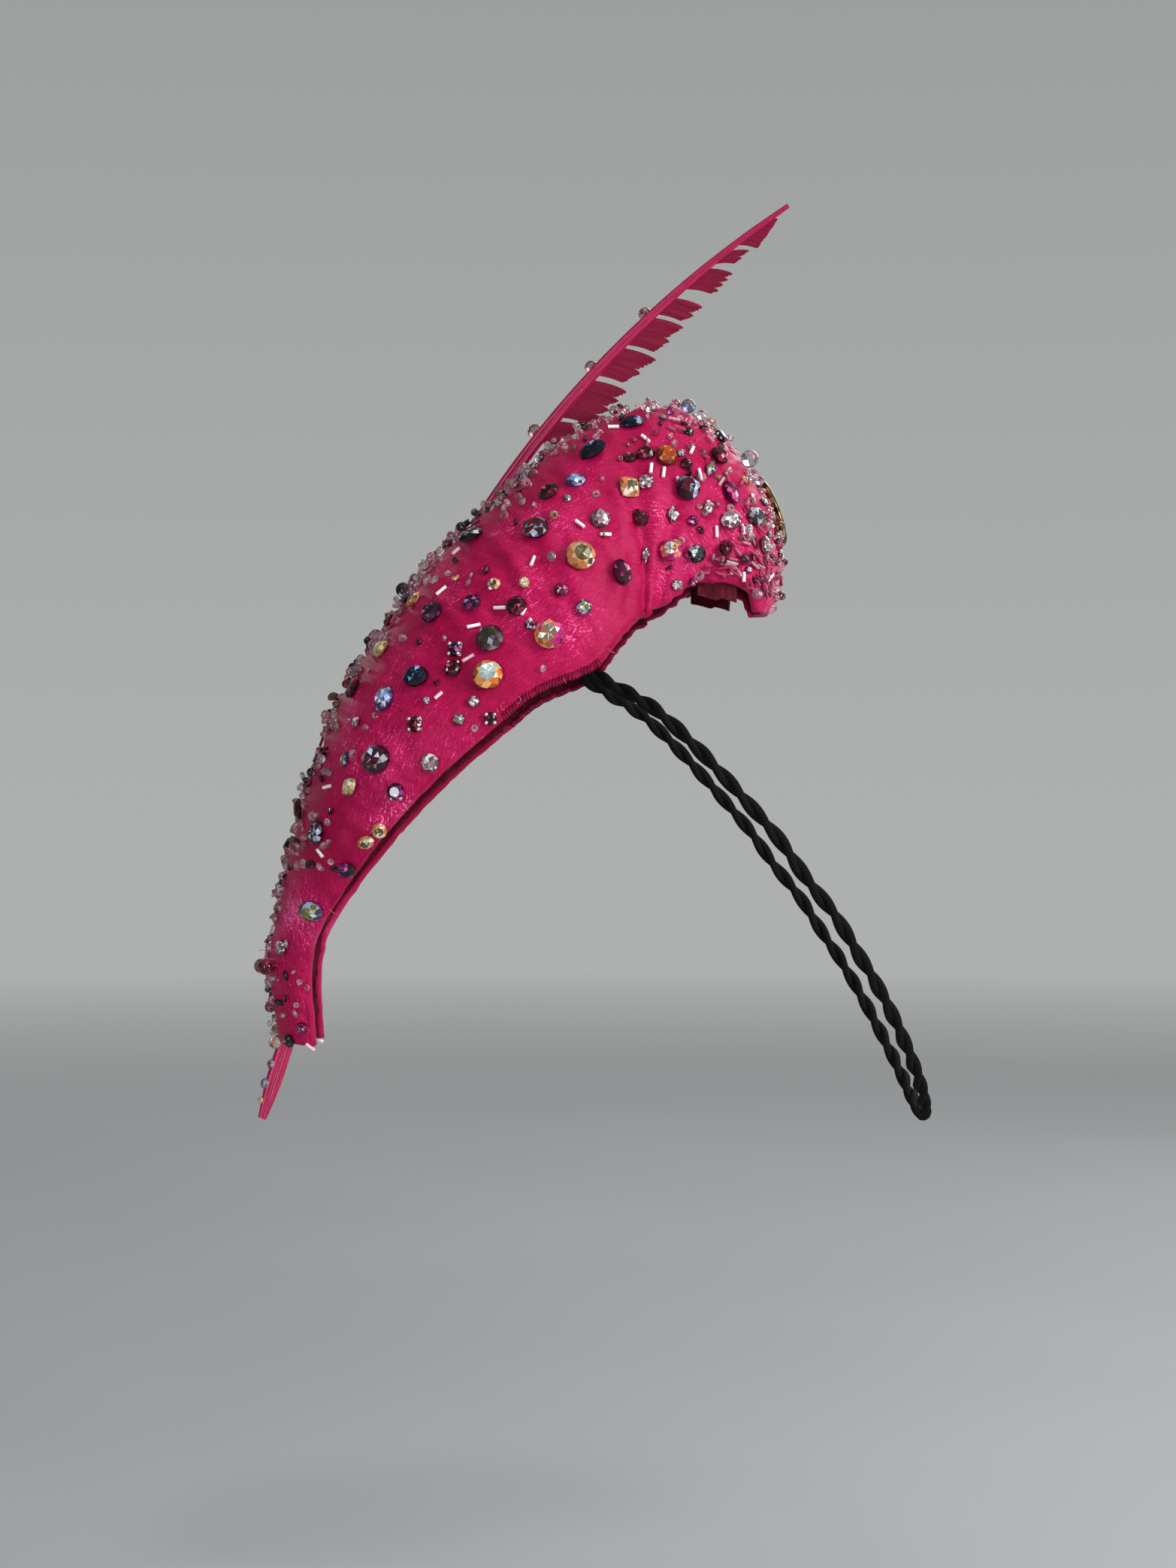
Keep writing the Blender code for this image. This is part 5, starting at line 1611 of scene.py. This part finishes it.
def laid_points(name, rows):
    """Mesh of bare points from rows of place, direction, length and tint."""
    laid = bpy.data.meshes.new(name)
    laid.from_pydata([tuple(row[0]) for row in rows], [], [])
    ahead = laid.attributes.new("ahead", "FLOAT_VECTOR", "POINT")
    ahead.data.foreach_set("vector", [value for row in rows for value in row[1]])
    laid.attributes.new("length", "FLOAT", "POINT").data.foreach_set("value", [row[2] for row in rows])
    laid.attributes.new("tint", "FLOAT", "POINT").data.foreach_set("value", [row[3] for row in rows])
    return laid


lined_rows = []
for bugle in BUGLES:
    hit, away = seat_at(bugle.x, bugle.z)
    place = hit + away * (BUGLE_RADIUS + BUGLE_SIT)
    ahead = stone_frame(away, bugle.lean) @ Vector((1, 0, 0))
    for side in (1, -1):
        mirror = Vector((1, side, 1))
        lined_rows.append((place * mirror * MM, ahead * mirror, bugle.length * MM, chance.uniform()))
fan_rows = []
for fan in FANS:
    for _ in range(fan.count):
        along = chance.uniform(fan.along_from, fan.along_to)
        angle = chance.uniform(fan.angle_from, fan.angle_to)
        after = arch_point(min(along + 1, RIDGE_LENGTH), angle)
        lengthwise = (after - arch_point(along - 1, angle)).normalized()
        nearest, away, _, _ = satin_surface.find_nearest(arch_point(along, angle))
        if min((nearest - hit).length - radius for hit, radius in clear_of) < BUGLE_CLEAR:
            continue
        twist = math.radians(chance.normal(0.0, fan.jitter))
        ahead = Matrix.Rotation(twist, 3, away) @ (lengthwise + away * chance.uniform(*FAN_TILT))
        place = nearest + away * (FAN_RADIUS + chance.uniform(BUGLE_SIT, FAN_LIFT))
        fan_rows.append((place * MM, ahead, chance.uniform(fan.shortest, fan.longest) * MM, chance.uniform()))
lined_glass = bead_glass(
    "silver lined glass", (0.0, (1.0, 1.0, 1.0)), (0.5, (1.0, 0.93, 0.95)), (0.95, (0.80, 0.42, 0.55))
)
fan_glass = bead_glass(
    "pink bugle glass",
    (0.0, (0.80, 0.10, 0.27)), (0.3, (0.55, 0.03, 0.14)), (0.5, (0.92, 0.36, 0.52)),
    (0.65, (0.40, 0.015, 0.09)), (0.8, (0.20, 0.008, 0.07)), (0.9, (0.75, 0.12, 0.28)),
    (0.98, (1.0, 0.92, 0.88)), clear=0.55,
)
for name, rows, glass, radius in (
    ("lined_bugles", lined_rows, lined_glass, BUGLE_RADIUS),
    ("fanned_bugles", fan_rows, fan_glass, FAN_RADIUS),
):
    points = laid_points(name + "_places", rows)
    bugles = grown(name, points, bugle_tree(name, glass), {"Radius": radius * MM, "Sides": BUGLE_SIDES})
    bugles.data.set_sharp_from_angle(angle=BUGLE_EDGE_ANGLE)
    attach(bugles, "root")


# Hem
# The satin is turned over the edge of the base in a narrow roll. Where the elastic goes in, the edge is
# overcast with dark red thread.
HEM_ROLL_RADIUS = 1.12
HEM_ROLL_SIDES = 8
HEM_WAVER = 0.12
OVERCAST_FROM = 115.0
OVERCAST_TO = 166.0
OVERCAST_PITCH = 0.8
OVERCAST_RADIUS = 1.2
THREAD_RADIUS = 0.24
OVERCAST_SLANT = 0.45
OVERCAST_SIDES = 12
THREAD_SIDES = 5


def hem_route(side, first, last):
    """Middle of the wall's edge along one hem, between two rings of the shell."""
    column = 0 if side < 0 else ARCH_STEPS
    inward = 1 if side < 0 else -1
    route = []
    for ring in range(first, last + 1):
        edge = Vector(rings[ring, column])
        above = Vector(rings[ring, column + inward])
        ahead = Vector(rings[min(ring + 1, RING_STEPS), column]) - Vector(rings[max(ring - 1, 0), column])
        away = (above - edge).cross(ahead).normalized() * -inward
        if away.y * side < 0:
            away = -away
        route.append((edge - away * (WALL / 2)) * MM)
    return route


overcast_tree, given, out = new_tree(
    "overcast edge", ("Hem", "Geometry"), ("Pitch", "Float"), ("Loop radius", "Float"),
    ("Thread radius", "Float"), ("Slant", "Float"),
)
path = add_node(overcast_tree, "GeometryNodeMeshToCurve", {0: given["Hem"]}).outputs[0]
spaced = add_node(
    overcast_tree, "GeometryNodeResampleCurve", {"Curve": path, "Length": given["Pitch"]}, mode="LENGTH"
).outputs[0]
ahead = add_node(overcast_tree, "GeometryNodeInputTangent").outputs[0]
turned = add_node(overcast_tree, "FunctionNodeAlignRotationToVector", {"Vector": ahead}, axis="Z").outputs[0]
slant = add_node(overcast_tree, "ShaderNodeCombineXYZ", {0: given["Slant"], 1: given["Slant"]}).outputs[0]
slanted = add_node(
    overcast_tree, "FunctionNodeRotateRotation", {0: turned, 1: slant}, rotation_space="LOCAL"
).outputs[0]
loop = ring_curve(overcast_tree, OVERCAST_SIDES, given["Loop radius"])
thread = ring_curve(overcast_tree, THREAD_SIDES, given["Thread radius"])
stitch = swept(overcast_tree, loop, thread)
placed = add_node(
    overcast_tree, "GeometryNodeInstanceOnPoints",
    {"Points": spaced, "Instance": stitch, "Rotation": slanted},
).outputs[0]


def thread_material(name, roughness, dark, bright, **fixed):
    """Sewing thread with a fine ply in two colours."""
    made, tree, shader = new_material(name, roughness, **fixed)
    paint(tree, shader, noise(tree, on_object(tree), 1800.0), (0.35, dark), (0.65, bright))
    return made


dark_thread = thread_material(
    "dark red thread", 0.8, (0.06, 0.001, 0.008), (0.15, 0.003, 0.022), Specular_IOR_Level=0.15
)
finish_tree(overcast_tree, placed, out, dark_thread)

hem_form = Form()
first = round(OVERCAST_FROM / RIDGE_LENGTH * RING_STEPS)
last = round(OVERCAST_TO / RIDGE_LENGTH * RING_STEPS)
for side, word in ((-1, "left"), (1, "right")):
    route = hem_route(side, 0, RING_STEPS)[::2]
    radii = [(HEM_ROLL_RADIUS + chance.uniform(-HEM_WAVER, HEM_WAVER)) * MM for _ in route]
    hem_form.bar(route, radii, HEM_ROLL_SIDES)
    edge = hem_route(side, first, last)
    edge_mesh = bpy.data.meshes.new("hem_edge_" + word)
    edge_mesh.from_pydata([tuple(point) for point in edge], [(k, k + 1) for k in range(len(edge) - 1)], [])
    overcast = grown("overcast_edge_" + word, edge_mesh, overcast_tree, {
        "Pitch": OVERCAST_PITCH * MM, "Loop radius": OVERCAST_RADIUS * MM,
        "Thread radius": THREAD_RADIUS * MM, "Slant": OVERCAST_SLANT,
    })
    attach(overcast, "root")
hem_roll = hem_form.piece("hem_roll", satin)
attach(hem_roll, "root")


# Loose threads
# Ends of sewing thread stand out at the hem, on the ridge and at the front of the peak, some curled in loops.
Fray = namedtuple("Fray", "x z lean length curl")
FRAYS = [
    Fray(-107.0, -102.0, 175.0, 5.5, 0.2),
    Fray(-107.0, -104.5, 186.0, 4.5, -0.3),
    Fray(-107.0, -106.5, 170.0, 4.0, 0.3),
    Fray(-74.8, -68.6, -75.0, 3.6, 0.2),
    Fray(-38.2, -29.5, -70.0, 4.0, 4.5),
    Fray(-40.0, -31.5, -110.0, 4.5, -4.5),
    Fray(-45.2, -38.0, -80.0, 4.0, 4.2),
    Fray(-46.5, -33.0, -60.0, 5.0, 3.0),
    Fray(-11.5, -14.0, -50.0, 3.0, 0.6),
    Fray(-51.0, 21.0, 130.0, 3.6, 1.5),
    Fray(-54.0, 20.0, 110.0, 4.5, -2.0),
    Fray(-71.0, 5.0, 140.0, 3.6, 1.2),
    Fray(-24.0, -22.0, -95.0, 2.6, 0.8),
    Fray(38.0, 9.0, 15.0, 3.0, 1.0),
    Fray(37.0, 2.0, -20.0, 3.2, -1.0),
    Fray(-92.0, -90.0, -60.0, 3.0, 1.0),
]
FRAY_RADIUS = 0.11
FRAY_STEPS = 12
FRAY_SIDES = 5
FRAY_ROOT = 0.3
FRAY_STAND = 0.3
fray_form = Form()
for fray in FRAYS:
    hit, away = seat_at(fray.x, fray.z)
    heading = math.radians(fray.lean)
    stride = fray.length / FRAY_STEPS
    point = hit - away * FRAY_ROOT
    route = [point * MM]
    for step in range(FRAY_STEPS):
        point = point + Vector((math.cos(heading), away.y * FRAY_STAND, math.sin(heading))) * stride
        heading += fray.curl / FRAY_STEPS
        route.append(point * MM)
    fray_form.bar(route, [FRAY_RADIUS * MM] * len(route), FRAY_SIDES)
pink_thread = thread_material("pink thread", 0.5, (0.45, 0.02, 0.12), (0.80, 0.16, 0.32))
threads = fray_form.piece("loose_threads", pink_thread)
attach(threads, "root")


# Feather stones
# Round glass stones are fixed half behind the feather's front edge, and down the front of its cut end.
FEATHER_STONE_BEHIND = 1.5
CUT_END_STONE_BEHIND = 0.2
FEATHER_STONE_OUT = 0.15
FEATHER_BALL = (16, 10)
FeatherStone = namedtuple("FeatherStone", "x z radius tint")
FEATHER_STONES = [
    FeatherStone(-31.8, 48.8, 2.3, "ruby_plum"),
    FeatherStone(-15.7, 66.9, 2.0, "ruby_plum"),
    FeatherStone(-0.4, 82.6, 2.0, "ruby_plum"),
    FeatherStone(-109.4, -134.9, 1.6, "jet_aurora"),
    FeatherStone(-111.0, -140.6, 1.7, "jet_aurora"),
    FeatherStone(-112.7, -145.4, 1.2, "foil"),
    FeatherStone(-103.0, -129.5, 1.5, "jet"),
]
rose_glass, tree, shader = new_material("tea rose glass", 0.05, Transmission_Weight=0.7)
cloud = noise(tree, on_object(tree), 400.0)
paint(tree, shader, cloud, (0.38, (0.10, 0.03, 0.035)), (0.5, (0.34, 0.15, 0.15)), (0.62, (0.70, 0.46, 0.44)))
quill_places = [(quill_frame(at), at) for at in np.arange(1.0, quill_length - 1.0, 1.0)]
feather_stones = {}
for stone in FEATHER_STONES:
    sight = (Vector((stone.x, 0, stone.z)) - EYE).normalized()

    def miss(found):
        """Distance by which the sight line misses a place on the quill."""
        reach = found[0][0] - EYE
        return (reach - sight * reach.dot(sight)).length

    (centre, ahead, rear, beside), at = min(quill_places, key=miss)
    behind = FEATHER_STONE_BEHIND if stone.z > 0 else CUT_END_STONE_BEHIND
    centre = centre - rear * (quill_radius(at) + stone.radius * FEATHER_STONE_OUT) + Vector((0, behind, 0))
    add_ball(feather_stones.setdefault(stone.tint, Form()), centre, stone.radius, *FEATHER_BALL)
for tint, form in feather_stones.items():
    glass = rose_glass if tint == "ruby_plum" else stone_glasses[tint]
    beads = form.piece("feather_stones_" + tint, glass, chart="facet")
    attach(beads, "root")
